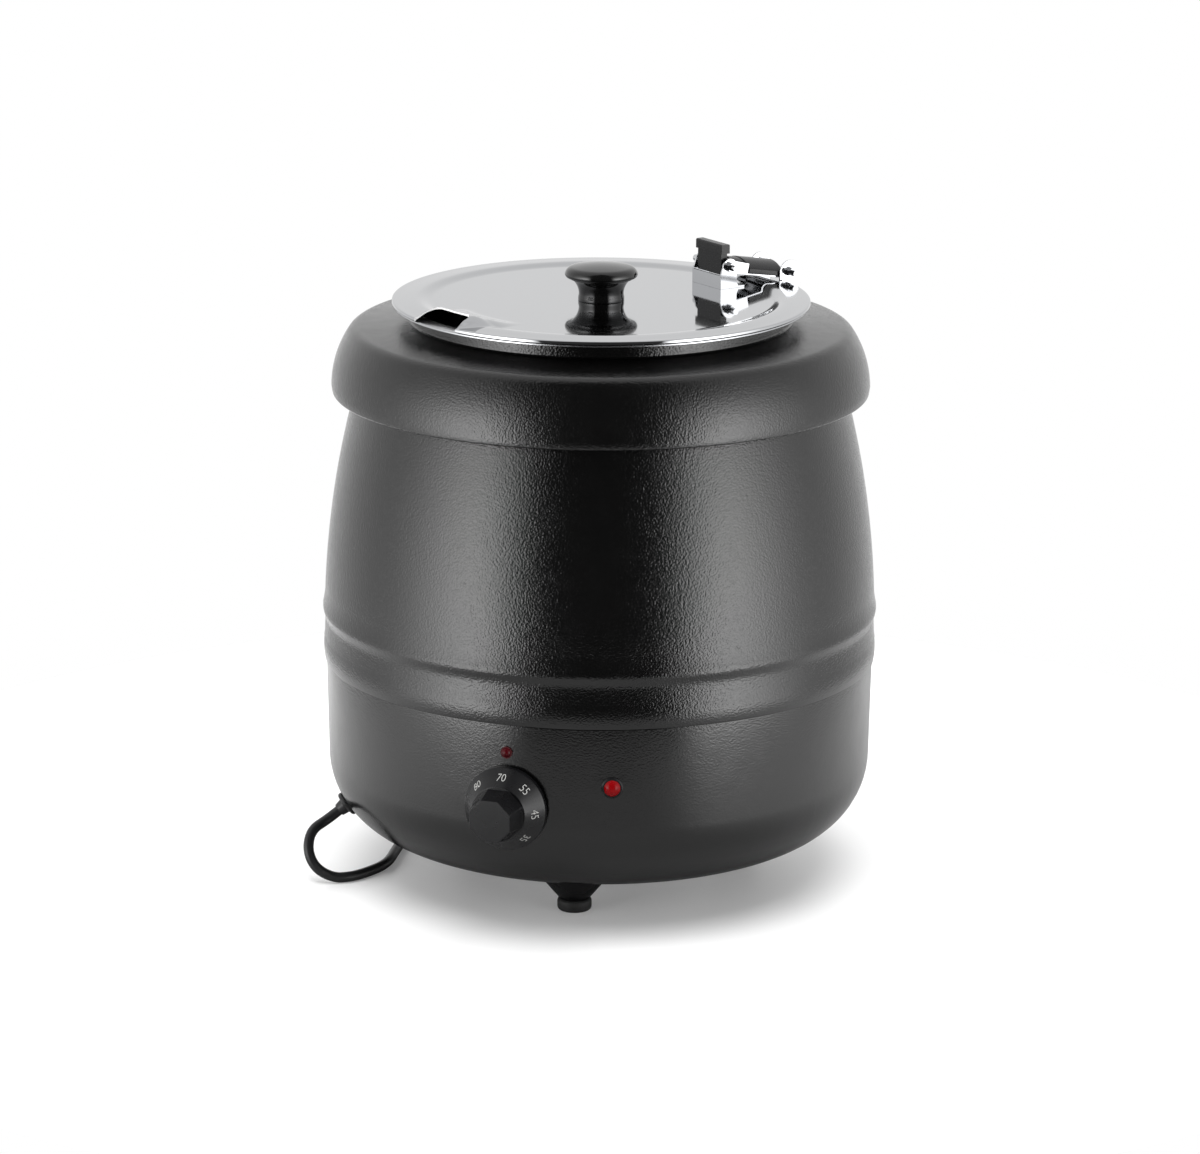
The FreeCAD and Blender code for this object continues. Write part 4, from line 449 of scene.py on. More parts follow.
def traced(path, edge):
    """Points of an outline in metres: pairs in millimetres, arcs between them, hard corners eased."""
    points = []
    for place, item in enumerate(path):
        if item[0] in ("left", "right"):
            start = Vector(path[place - 1])
            end = Vector(path[place + 1])
            points += arc_points(start, end, item[1], 1 if item[0] == "left" else -1)
        else:
            points.append(Vector(item))
    closed = points[0].x > 0
    rounded = []
    for place, point in enumerate(points):
        if not closed and place in (0, len(points) - 1):
            rounded.append(point)
            continue
        before = points[place - 1] - point
        after = points[(place + 1) % len(points)] - point
        bend = math.pi - before.angle(after)
        if bend < EASED_BEND:
            rounded.append(point)
            continue
        reach = min(edge / MM * math.tan(bend / 2), before.length * EASED_SHARE, after.length * EASED_SHARE)
        first = point + before.normalized() * reach
        last = point + after.normalized() * reach
        for step in range(EASED_STEPS + 1):
            part = step / EASED_STEPS
            rounded.append(first * (1 - part) ** 2 + point * (2 * part * (1 - part)) + last * part ** 2)
    if closed:
        rounded.append(rounded[0])
    return [point * MM for point in rounded]


def arc_points(start, end, radius, side):
    """Points between the ends of an arc whose centre is on the left (1) or right (-1)."""
    chord = end - start
    normal = Vector((-chord.y, chord.x)).normalized() * side
    centre = (start + end) / 2 + normal * math.sqrt(max(radius ** 2 - chord.length_squared / 4, 0))
    low = math.atan2(start.y - centre.y, start.x - centre.x)
    turn = 2 * math.asin(min(chord.length / 2 / radius, 1)) * side
    count = max(ARC_LEAST, min(ARC_MOST, round(abs(turn) * radius / ARC_STEP)))
    return [centre + spoke(low + turn * step / count) * radius for step in range(1, count)]


def group_tree(name, sockets):
    """Empty geometry tree with a geometry input and output and named settings."""
    tree = bpy.data.node_groups.new(name, "GeometryNodeTree")
    tree.interface.new_socket("Geometry", in_out="INPUT", socket_type="NodeSocketGeometry")
    tree.interface.new_socket("Geometry", in_out="OUTPUT", socket_type="NodeSocketGeometry")
    for label, kind in sockets:
        tree.interface.new_socket(label, in_out="INPUT", socket_type=kind)
    return tree, add(tree, "NodeGroupInput").outputs


def close_tree(tree, geometry, material):
    """Ends a tree with real geometry in its finish."""
    real = add(tree, "GeometryNodeRealizeInstances", {"Geometry": geometry})
    dressed = add(tree, "GeometryNodeSetMaterial", {"Geometry": real, "Material": material})
    add(tree, "NodeGroupOutput", {"Geometry": dressed})
    return tree


def turned_tree():
    """Turns an outline in the XZ plane round the Z axis."""
    tree, given = group_tree("Turned wall", [
        ("Steps round", "NodeSocketInt"), ("Crease", "NodeSocketFloat"), ("Finish", "NodeSocketMaterial"),
    ])
    count = add(tree, "GeometryNodeAttributeDomainSize", {"Geometry": given["Geometry"]})
    columns = add(tree, "ShaderNodeMath", {0: given["Steps round"], 1: 1.0})
    grid = add(tree, "GeometryNodeMeshGrid", {"Vertices X": count, "Vertices Y": columns})
    index = add(tree, "GeometryNodeInputIndex")
    ratio = add(tree, "ShaderNodeMath", {0: index, 1: columns}, operation="DIVIDE")
    row = add(tree, "ShaderNodeMath", {0: ratio}, operation="FLOOR")
    column = add(tree, "ShaderNodeMath", {0: index, 1: columns}, operation="MODULO")
    place = add(tree, "GeometryNodeInputPosition")
    sample = add(tree, "GeometryNodeSampleIndex", {
        "Geometry": given["Geometry"], "Value": place, "Index": row,
    }, data_type="FLOAT_VECTOR")
    outline = add(tree, "ShaderNodeSeparateXYZ", {"Vector": sample}).outputs
    share = add(tree, "ShaderNodeMath", {0: column, 1: given["Steps round"]}, operation="DIVIDE")
    angle = add(tree, "ShaderNodeMath", {0: share, 1: math.tau}, operation="MULTIPLY")
    cosine = add(tree, "ShaderNodeMath", {0: angle}, operation="COSINE")
    sine = add(tree, "ShaderNodeMath", {0: angle}, operation="SINE")
    along = add(tree, "ShaderNodeMath", {0: outline["X"], 1: cosine}, operation="MULTIPLY")
    across = add(tree, "ShaderNodeMath", {0: outline["X"], 1: sine}, operation="MULTIPLY")
    spot = add(tree, "ShaderNodeCombineXYZ", {"X": along, "Y": across, "Z": outline["Z"]})
    wall = add(tree, "GeometryNodeSetPosition", {"Geometry": grid, "Position": spot})
    closed = add(tree, "GeometryNodeMergeByDistance", {"Geometry": wall, "Distance": SEAM_WELD})
    smooth = add(tree, "GeometryNodeSetShadeSmooth", {"Geometry": closed, "Shade Smooth": True})
    bend = add(tree, "GeometryNodeInputMeshEdgeAngle")
    hard = add(tree, "FunctionNodeCompare", {"A": bend, "B": given["Crease"]}, operation="GREATER_THAN")
    creased = add(tree, "GeometryNodeSetShadeSmooth", {
        "Geometry": smooth, "Selection": hard, "Shade Smooth": False,
    }, domain="EDGE")
    return close_tree(tree, creased, given["Finish"])


def ring_tree():
    """Sets copies of a piece evenly round the Z axis."""
    tree, given = group_tree("Ring of copies", [("Count", "NodeSocketInt"), ("Finish", "NodeSocketMaterial")])
    points = add(tree, "GeometryNodePoints", {"Count": given["Count"]})
    index = add(tree, "GeometryNodeInputIndex")
    share = add(tree, "ShaderNodeMath", {0: index, 1: given["Count"]}, operation="DIVIDE")
    angle = add(tree, "ShaderNodeMath", {0: share, 1: math.tau}, operation="MULTIPLY")
    turn = add(tree, "ShaderNodeCombineXYZ", {"Z": angle})
    copies = add(tree, "GeometryNodeInstanceOnPoints", {
        "Points": points, "Instance": given["Geometry"], "Rotation": turn,
    })
    return close_tree(tree, copies, given["Finish"])


def band_tree():
    """Lays a flat band along a closed path."""
    tree, given = group_tree("Band on a path", [
        ("Width", "NodeSocketFloat"), ("Thickness", "NodeSocketFloat"), ("Finish", "NodeSocketMaterial"),
    ])
    path = add(tree, "GeometryNodeMeshToCurve", {"Mesh": given["Geometry"]})
    section = add(tree, "GeometryNodeCurvePrimitiveQuadrilateral", {
        "Width": given["Width"], "Height": given["Thickness"],
    })
    band = add(tree, "GeometryNodeCurveToMesh", {"Curve": path, "Profile Curve": section})
    return close_tree(tree, band, given["Finish"])


def grown(name, mesh, tree, settings):
    """Runs a geometry tree on a mesh and returns the plain result."""
    holder = linked(name, mesh)
    modifier = holder.modifiers.new(tree.name, "NODES")
    modifier.node_group = tree
    for item in tree.interface.items_tree:
        if item.item_type == "SOCKET" and item.in_out == "INPUT" and item.name in settings:
            modifier[item.identifier] = settings[item.name]
    result = plain(holder, preserve_all_data_layers=True)
    result.name = name
    return result


@functools.cache
def tree_for(make):
    """A geometry tree, made once."""
    return make()


def turned(name, path, slot, edge=None, steps=None):
    """Mesh of an outline turned round the Z axis, faces outwards."""
    shape = bpy.context.scene.kettle_shape
    points = traced(path, shape.sheet_edge if edge is None else edge)
    mesh = bpy.data.meshes.new(name + "_outline")
    corners = [(point.x, 0, point.y) for point in points]
    mesh.from_pydata(corners, [(place, place + 1) for place in range(len(corners) - 1)], [])
    wall = grown(name, mesh, tree_for(turned_tree), {
        "Steps round": steps or shape.steps_round, "Crease": CREASE, "Finish": finish(slot),
    })
    outwards(wall)
    return wall


def outwards(mesh):
    """Turns a closed mesh right side out."""
    work = bmesh.new()
    work.from_mesh(mesh)
    bmesh.ops.recalc_face_normals(work, faces=work.faces)
    work.to_mesh(mesh)
    work.free()


def cut_out(mesh, outlines, low, high):
    """Cuts upright prisms, given by their plan outlines in metres, out of a closed mesh."""
    holder = linked("uncut", mesh)
    tools = []
    for corners in outlines:
        count = len(corners)
        prism = bpy.data.meshes.new("cutter")
        prism.from_pydata(
            [(x, y, low) for x, y in corners] + [(x, y, high) for x, y in corners], [],
            [tuple(range(count)), tuple(range(count, count * 2))]
            + [(step, (step + 1) % count, (step + 1) % count + count, step + count) for step in range(count)])
        outwards(prism)
        tools.append(linked("cutter", prism))
        modifier = holder.modifiers.new("Cut", "BOOLEAN")
        modifier.object = tools[-1]
    result = plain(holder)
    for tool in tools:
        bpy.data.objects.remove(tool)
    result.set_sharp_from_angle(angle=CREASE)
    result.name = mesh.name
    return result


def eased_copy(node, name, edge, slot, tilt=35):
    """Copy of a frame node whose hard edges are broken by a small round."""
    source = frame["nodes"][node]
    work = bmesh.new()
    work.from_mesh(source.data)
    bmesh.ops.remove_doubles(work, verts=work.verts, dist=WELD)
    bmesh.ops.dissolve_limit(work, angle_limit=FLAT_BEND, verts=work.verts, edges=work.edges)
    mesh = settled(work, name)
    mesh.materials.append(finish(slot))
    mesh.shade_smooth()
    piece = new_piece(name, mesh, source["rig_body"], [node])
    bevel = piece.modifiers.new("Eased edges", "BEVEL")
    bevel.width = edge
    bevel.segments = 2
    bevel.limit_method = "ANGLE"
    bevel.angle_limit = math.radians(tilt)
    bevel.use_clamp_overlap = True
    normals = piece.modifiers.new("Even shading", "WEIGHTED_NORMAL")
    normals.keep_sharp = True
    return piece


# Outlines of the turned pieces, in millimetres: radius, height, and the arcs between

BARREL = [
    (169.0, 137.0), (170.2, 137.0), ("left", 40.0), (170.2, 152.0), (169.9, 160.0), ("right", 16.0),
    (170.7, 166.5), ("left", 9.0), (170.9, 171.5), ("right", 60.0), (169.6, 183.0), ("left", 564.0),
    (138.3, 343.153), (137.1, 343.153), ("right", 562.8), (168.4, 181.0), (168.4, 172.5), (169.0, 167.0),
]
COLLAR = [
    (157.0, 303.8), (162.4, 303.8), ("left", 2.0), (164.4, 305.8), (164.8, 308.8), ("left", 60.0),
    (154.6, 340.6), ("left", 9.0), (148.4, 344.5), (118.0, 347.972), ("right", 2.0), (116.0, 350.2),
    (116.0, 356.192), (114.8, 356.192), (114.8, 347.137), (148.4, 343.3), ("right", 7.8),
    (153.605, 339.929), ("right", 58.8), (163.6, 308.8), (163.2, 305.8), ("right", 0.8), (162.4, 305.0),
    (157.0, 305.0),
]
POT = [
    (0.0, 121.0), (95.0, 121.0), ("left", 18.0), (113.0, 139.0), (113.0, 352.5), ("right", 5.0),
    (118.0, 357.5), (125.4, 357.5), (125.4, 357.1), (126.4, 357.1), (126.4, 357.7), ("left", 0.8),
    (125.6, 358.5), (118.0, 358.5), ("left", 6.0), (112.0, 352.5), (112.0, 139.0), ("right", 17.0),
    (95.0, 122.0), (0.0, 122.0),
]
PAN = [
    (0.0, 112.0), (106.0, 112.0), ("left", 24.0), (130.0, 136.0), (130.0, 344.251), (145.0, 342.538),
    (145.0, 343.538), (129.0, 345.365), (129.0, 136.0), ("right", 23.0), (106.0, 113.0), (0.0, 113.0),
]
KNOB = [
    (0.0, 371.0), (2.05, 371.0), (2.05, 359.7), (14.1, 359.7), (14.1, 361.7), (13.7, 363.7),
    ("right", 11.5), (18.6, 373.1), (19.6, 373.1), (19.6, 374.1), (21.3, 374.1), ("left", 2.2),
    (22.3, 376.0), ("left", 5.0), (18.2, 380.3), ("left", 98.3), (0.0, 382.0),
]
FOOT = [
    (5.05, 7.65), (9.3, 7.65), (24.5, 26.0), (24.5, 27.0), (2.55, 27.0), (2.55, 13.65), (5.05, 13.65),
]
FOOT_PAD = [
    (0.0, 0.0), (8.5, 0.0), ("left", 2.0), (10.5, 2.0), (10.5, 5.5), ("left", 2.0), (8.5, 7.5),
    (5.0, 7.5), (5.0, 13.5), (0.0, 13.5),
]
# Along the plug's own axis: distance from the cord's end is the height
PLUG = [
    (0.0, 0.0), (6.0, 0.0), (6.2, 1.6), (5.5, 2.2), (5.7, 3.2), (6.7, 3.8), (6.9, 5.2), (6.1, 5.8),
    (6.3, 6.8), (7.2, 7.4), (7.5, 9.0), (6.7, 9.6), (6.9, 10.6), (7.8, 11.2), (8.06, 14.0),
    ("right", 18.5), (18.5, 30.0), (18.5, 47.94), (16.44, 50.0), (0.0, 50.0),
]
# Along the bushing's own axis, from the middle of the bowl's rounded corner
GLAND = [
    (0.0, 39.0), (4.6, 39.0), (7.0, 47.0), (5.8, 47.0), (5.8, 49.15), (8.0, 49.15), (8.0, 50.82),
    (7.17, 51.65), (5.6, 51.65), (4.8, 52.4), (4.0, 56.65), (0.0, 56.65),
]

# The lid in millimetres: a ring with a low crown, a step down to its disc, and two cut-outs
LID_RADIUS = 127.6
LID_WALL = 1.0
LID_ROUND = 0.7
LID_FOOT = 358.8
LID_EDGE = 360.8
LID_CROWN, LID_CROWN_RUN = 0.6, 16.0
LID_STEP, LID_STEP_RADIUS, LID_STEP_RUN = 1.7, 112.0, 9.0
LID_SPACING, LID_RUNS, LID_STEPS_ROUND = 1.5, 32, 900
CUT_LOW, CUT_HIGH, CUT_REACH = 340.0, 400.0, 134.0
HINGE_ANGLE = math.radians(43)
HINGE_GAP_RADIUS, HINGE_GAP_HALF = 112.3, 18.0
NOTCH_ANGLE = math.radians(227)
NOTCH_RADIUS, NOTCH_HALF, NOTCH_MOUTH, NOTCH_CORNER = 117.3, 18.0, 22.5, 7.0

# The hood pressed over the notch: where it starts, what it loses at the rim, and its flanks
HOOD_RISE, HOOD_START, HOOD_RUN, HOOD_HALF = 4.9, 84.0, 26.0, 16.5
HOOD_LOSS, HOOD_LOSS_START, HOOD_LOSS_RUN = 0.43, 112.0, 15.6
FLANK, FLANK_LOSS, FLANK_START, FLANK_RUN = 14.0, 11.0, 108.0, 19.0

# Where the feet, the bushing, the dial and the plug sit, and how the dial's numbers are printed
FOOT_CIRCLE = 94 * MM
BUSHING_CORNER = Vector((119.0, 0.0, 76.0)) * MM
BUSHING_ANGLE = math.radians(198)
BUSHING_TILT = math.radians(38.5)
DIAL_ANGLE = math.radians(260)
DIAL_HEIGHT = 86 * MM
DIAL_BACK = 168.897 * MM
DIAL_CONE = (Vector((24.7, 4.2)) * MM, Vector((16.8, 15.0)) * MM)
DIGIT_CAP, DIGIT_WIDTH, DIGIT_CUTS, DIGIT_WELD = 0.7, 0.74, 3, 1e-7
DIGIT_THIN, DIGIT_DEPTH, DIGIT_LIFT, DIGIT_SPACING = 0.11 * MM, 0.04 * MM, 0.05 * MM, 0.6 * MM
DIAL_NUMBERS = {"80": -46, "70": 0, "55": 44, "45": 89, "35": 135}
PLUG_PLACE = Vector((62.0, 303.0, 18.6)) * MM

# The cord's route in millimetres, from the bushing to the coil, and from the coil to the plug
CORD_LEAD = [
    (-155.34, -50.47, 40.74), (-162.04, -52.65, 35.13), (-170.5, -63.0, 31.1), (-171.2, -71.8, 20.7),
    (-165.8, -74.3, 10.0), (-155.4, -71.1, 3.3), (-145.6, -67.8, 3.3), (-138.0, -59.5, 3.3),
    (-127.4, -39.0, 3.3), (-127.7, -8.4, 3.3), (-126.5, 30.0, 3.3), (-122.5, 75.0, 3.3),
    (-115.5, 120.0, 3.3), (-101.5, 163.0, 3.3), (-80.0, 203.0, 3.3), (-66.69, 226.61, 3.3),
]
CORD_TAIL = [
    (6.39, 299.91, 10.3), (27.0, 301.8, 14.2), (48.0, 303.0, 18.6), (62.0, 303.0, 18.6),
]
COIL_CENTRE = Vector((-20.0, 255.0))
COIL_RADIUS = 46.0
COIL_PITCH = 7.0
COIL_TURNS = 6.25
COIL_POINTS = 16
COIL_HEIGHT, COIL_LAYER, COIL_CLIMB, COIL_CLIMB_RUN = 3.3, 7.0, 3.0, 0.5
STRAP_LOW, STRAP_HIGH = Vector((1.3, 0.45)), Vector((26.2, 14.2))
STRAP_CORNER, STRAP_STEPS = 3.0, 5
STRAP_THICKNESS = 0.8 * MM


def coil_route():
    """The coil's points: two flat layers, spiralling in below and out above."""
    half = COIL_CLIMB + COIL_CLIMB_RUN / 2
    outset = 2 / (1 + math.cos(math.pi / COIL_POINTS))
    route = []
    for step in range(int(COIL_TURNS * COIL_POINTS) + 1):
        turns = step / COIL_POINTS
        radius = (COIL_RADIUS - COIL_PITCH * (half - abs(turns - half))) * outset
        climb = eased((turns - COIL_CLIMB) / COIL_CLIMB_RUN)
        angle = math.pi * (1 - 2 * turns)
        spot = COIL_CENTRE + spoke(angle) * radius
        route.append((spot.x, spot.y, COIL_HEIGHT + COIL_LAYER * climb))
    return route


# Brightness of the studio round the kettle: degrees from the camera's side, and share of the softboxes' level
SOFTBOX_LEVELS = [
    (0, 0.006), (33, 0.008), (44, 0.85), (51, 1.0), (58, 0.95), (70, 0.6), (84, 0.34),
    (98, 0.18), (115, 0.15), (140, 0.14), (180, 0.14),
]
CEILING_LEVELS = [
    (0, 0.004), (40, 0.01), (60, 0.1), (80, 0.15), (100, 0.13), (125, 0.14), (180, 0.14),
]
# Where the softboxes give way to the ceiling, the overhead lamp, where the floor's painted light reaches full
# at its sides, the camera's aim
TENT_FADE = {"From Min": -0.1, "From Max": 0.75}
OVERHEAD_PLACE = (0, -0.7, 2.4)
OVERHEAD_SIZE = 3.0
FLOOR_PAINTED_LIGHT_FADE = {"From Min": 0.15, "From Max": 0.4}
AIM_HEIGHT, AIM_SHIFT = 184.6 * MM, 0.15 * MM


# Operators

class KETTLE_OT_stage(bpy.types.Operator):
    """Sets up the pale floor, the studio light and the camera"""
    bl_idname = "kettle.stage"
    bl_label = "Stage"

    def execute(self, context):
        stage = context.scene.kettle_stage
        self.light(context, stage)
        self.overhead(context, stage)
        self.floor(context, stage)
        self.camera(context, stage)
        context.scene.view_settings.view_transform = "Standard"
        return {"FINISHED"}

    def light(self, context, stage):
        """A white tent, open towards the camera, with a tall softbox at each side."""
        world = bpy.data.worlds.new("white_tent")
        context.scene.world = world
        world.use_nodes = True
        tree = world.node_tree
        tree.nodes.clear()
        way = add(tree, "ShaderNodeTexCoord").outputs["Generated"]
        turned_way = add(tree, "ShaderNodeMapping", {"Vector": way, "Rotation": (0, 0, -stage.azimuth)})
        parts = add(tree, "ShaderNodeSeparateXYZ", {"Vector": turned_way}).outputs
        forwards = add(tree, "ShaderNodeMath", {0: parts["Y"], 1: -1.0}, operation="MULTIPLY")
        angle = add(tree, "ShaderNodeMath", {0: parts["X"], 1: forwards}, operation="ARCTAN2")
        side = add(tree, "ShaderNodeMath", {0: angle}, operation="ABSOLUTE")
        share = add(tree, "ShaderNodeMath", {0: side, 1: math.pi}, operation="DIVIDE")
        low = add(tree, "ShaderNodeValToRGB", {"Fac": share})
        high = add(tree, "ShaderNodeValToRGB", {"Fac": share})
        for ramp, stops in ((low, SOFTBOX_LEVELS), (high, CEILING_LEVELS)):
            while len(ramp.color_ramp.elements) < len(stops):
                ramp.color_ramp.elements.new(0.5)
            for element, (degrees, level) in zip(ramp.color_ramp.elements, stops):
                element.position = degrees / 180
                element.color = (level, level, level, 1)
        height = add(tree, "ShaderNodeMapRange", {
            "Value": parts["Z"], **TENT_FADE,
        }, interpolation_type="SMOOTHSTEP")
        tent = add(tree, "ShaderNodeMix", {"Factor": height, "A": low, "B": high}, data_type="RGBA")
        dome = add(tree, "ShaderNodeMath", {0: tent, 1: stage.softbox}, operation="MULTIPLY")
        seen = add(tree, "ShaderNodeLightPath").outputs["Is Camera Ray"]
        level = add(tree, "ShaderNodeMix", {"Factor": seen, "A": dome, "B": 1.0})
        back = add(tree, "ShaderNodeBackground", {"Color": (1, 1, 1, 1), "Strength": level})
        add(tree, "ShaderNodeOutputWorld", {"Surface": back})

    def overhead(self, context, stage):
        """Wide soft light from above, which lights the floor and isn't mirrored in the paint."""
        lamp = bpy.data.lights.new("overhead_light", "AREA")
        lamp.shape = "DISK"
        lamp.size = OVERHEAD_SIZE
        lamp.energy = stage.overhead
        light = linked("overhead_light", lamp)
        light.location = OVERHEAD_PLACE
        light.visible_glossy = False

    def floor(self, context, stage):
        """Round white table top that runs out just past the picture's edge. Where the camera sees it, it
        glows with painted light that is brighter towards its sides, and in reflections it is painted darker
        towards the middle.
        """
        work = bmesh.new()
        bmesh.ops.create_circle(work, cap_ends=True, segments=128, radius=stage.floor_radius)
        mesh = settled(work, "floor")
        floor = linked("floor", mesh)
        material, tree, shader, place = new_finish("white_floor_painted_glow", {
            "Emission Color": (1, 1, 1, 1), "Specular IOR Level": 0.3,
        })
        mottle(tree, shader, place, 80 * MM, 2.0, gloss=(0.3, 0.34))
        across = add(tree, "ShaderNodeSeparateXYZ", {"Vector": place}).outputs["X"]
        reach = add(tree, "ShaderNodeMath", {0: across}, operation="ABSOLUTE")
        # Painted light: a share that grows from the middle of the floor out to its sides
        painted_light_share = add(tree, "ShaderNodeMapRange", {"Value": reach, **FLOOR_PAINTED_LIGHT_FADE}, interpolation_type="SMOOTHSTEP")
        # Painted shade: the floor that the kettle mirrors and takes bounce light from is darker in the middle
        # (#aaaaaa) than at the sides (#eeeeee), while the camera sees it an even #e6e6e6
        mirrored = add(tree, "ShaderNodeMix", {
            "Factor": painted_light_share, "A": (*linear("#aaaaaa"), 1), "B": (*linear("#eeeeee"), 1),
        }, data_type="RGBA")
        seen = add(tree, "ShaderNodeLightPath").outputs["Is Camera Ray"]
        colour = add(tree, "ShaderNodeMix", {
            "Factor": seen, "A": mirrored, "B": (*linear("#e6e6e6"), 1),
        }, data_type="RGBA")
        # Painted glow: the floor emits light for camera rays only, 0.16 in the middle rising to 0.3 at the
        # sides
        painted_glow = add(tree, "ShaderNodeMapRange", {"Value": painted_light_share, "To Min": 0.16, "To Max": 0.3})
        painted_glow_seen = add(tree, "ShaderNodeMath", {0: painted_glow, 1: seen}, operation="MULTIPLY")
        feed(tree, shader, {"Base Color": colour, "Emission Strength": painted_glow_seen})
        mesh.materials.append(material)

    def camera(self, context, stage):
        lens = bpy.data.cameras.new("camera")
        lens.lens = stage.lens
        lens.sensor_width = 36
        lens.clip_end = 50
        camera = linked("camera", lens)
        flat = math.cos(stage.elevation)
        back = Vector((
            math.sin(stage.azimuth) * flat, -math.cos(stage.azimuth) * flat, math.sin(stage.elevation)))
        right = spoke(stage.azimuth).to_3d()
        aim = Vector((0, 0, AIM_HEIGHT)) + right * AIM_SHIFT
        camera.location = aim + back * stage.distance
        camera.rotation_mode = "QUATERNION"
        level = (-back).to_track_quat("-Z", "Y")
        camera.rotation_quaternion = level @ Quaternion((0, 0, 1), stage.roll)
        context.scene.camera = camera


class KETTLE_OT_cord(bpy.types.Operator):
    """Lays the mains cord from its bushing to the coil and the plug, with a strap round the coil"""
    bl_idname = "kettle.cord"
    bl_label = "Cord and plug"

    def execute(self, context):
        shape = context.scene.kettle_shape
        plug = self.plug()
        self.bushing()
        strap = self.strap(shape)
        route = CORD_LEAD + coil_route() + CORD_TAIL
        curve = bpy.data.curves.new("mains_cord", "CURVE")
        curve.dimensions = "3D"
        curve.bevel_depth = shape.cord_diameter / 2
        curve.bevel_resolution = 6
        curve.use_fill_caps = True
        curve.resolution_u = 8
        line = curve.splines.new("NURBS")
        line.points.add(len(route) - 1)
        for point, spot in zip(line.points, route):
            point.co = (*(Vector(spot) * MM), 1)
        line.order_u = 3
        line.use_endpoint_u = True
        curve.materials.append(finish("cord_rubber"))
        cord = linked("mains_cord", curve)
        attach(cord, "kettle")
        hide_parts("cord_lead", "cord_coil", "cord_tail")
        return {"FINISHED"}

    def plug(self):
        mesh = turned("mains_plug", PLUG, "cord_rubber", edge=0.5 * MM, steps=96)
        mesh.transform(Matrix.Translation(PLUG_PLACE) @ Matrix.Rotation(math.pi / 2, 4, "Y"))
        return new_piece("mains_plug", mesh, "kettle", ["plug_body"])

    def bushing(self):
        mesh = turned("cord_bushing", GLAND, "cord_rubber", edge=0.3 * MM, steps=64)
        lean = Matrix.Rotation(math.pi / 2 + BUSHING_TILT, 4, "Y")
        mesh.transform(Matrix.Rotation(BUSHING_ANGLE, 4, "Z") @ Matrix.Translation(BUSHING_CORNER) @ lean)
        return new_piece("cord_bushing", mesh, "kettle", ["cord_gland"])

    def strap(self, shape):
        """Strap round the coil's turns on the side that faces the plug."""
        low, high, corner = STRAP_LOW, STRAP_HIGH, STRAP_CORNER
        spots = []
        for turn, (x, z) in enumerate([(high.x, low.y), (high.x, high.y), (low.x, high.y), (low.x, low.y)]):
            centre = Vector((x, z)) - Vector((
                corner if x == high.x else -corner, corner if z == high.y else -corner))
            for step in range(STRAP_STEPS + 1):
                angle = math.pi / 2 * (turn - 1 + step / STRAP_STEPS)
                spots.append(centre + spoke(angle) * corner)
        path = bpy.data.meshes.new("strap_path")
        path.from_pydata(
            [(spot.x * MM, COIL_CENTRE.y * MM, spot.y * MM) for spot in spots],
            [(place, (place + 1) % len(spots)) for place in range(len(spots))], [])
        mesh = grown("coil_strap", path, tree_for(band_tree), {
            "Width": shape.strap_width, "Thickness": STRAP_THICKNESS, "Finish": finish("strap"),
        })
        outwards(mesh)
        return new_piece("coil_strap", mesh, "kettle")


class KETTLE_OT_painted_body(bpy.types.Operator):
    """Makes the barrel and the collar as turned sheet with eased edges"""
    bl_idname = "kettle.painted_body"
    bl_label = "Painted body"

    def execute(self, context):
        kinds = [("painted_barrel", BARREL, "barrel_shell"), ("painted_collar", COLLAR, "top_collar")]
        for name, path, node in kinds:
            new_piece(name, turned(name, path, "painted_black"), "kettle", [node])
        return {"FINISHED"}


class KETTLE_OT_feet(bpy.types.Operator):
    """Sets three conical feet with rubber ends round the bowl's floor"""
    bl_idname = "kettle.feet"
    bl_label = "Feet"

    def execute(self, context):
        edge = context.scene.kettle_shape.moulded_edge
        kinds = [
            ("conical_feet", FOOT, "moulded_black", ["foot_1", "foot_2", "foot_3"]),
            ("rubber_feet", FOOT_PAD, "pad_rubber", ["foot_pad_1", "foot_pad_2", "foot_pad_3"]),
        ]
        for name, path, slot, nodes in kinds:
            one = turned(name, path, slot, edge=edge, steps=72)
            one.transform(Matrix.Translation((0, -FOOT_CIRCLE, 0)))
            ring = grown(name, one, tree_for(ring_tree), {"Count": 3, "Finish": finish(slot)})
            new_piece(name, ring, "kettle", nodes)
        return {"FINISHED"}


class KETTLE_OT_pot(bpy.types.Operator):
    """Makes the soup pot and the water pan as spun steel"""
    bl_idname = "kettle.pot"
    bl_label = "Pot and pan"

    def execute(self, context):
        kinds = [("spun_pot", POT, "pot", "soup_pot"), ("spun_pan", PAN, "kettle", "water_pan")]
        for name, path, body, node in kinds:
            new_piece(name, turned(name, path, "satin_steel"), body, [node])
        return {"FINISHED"}


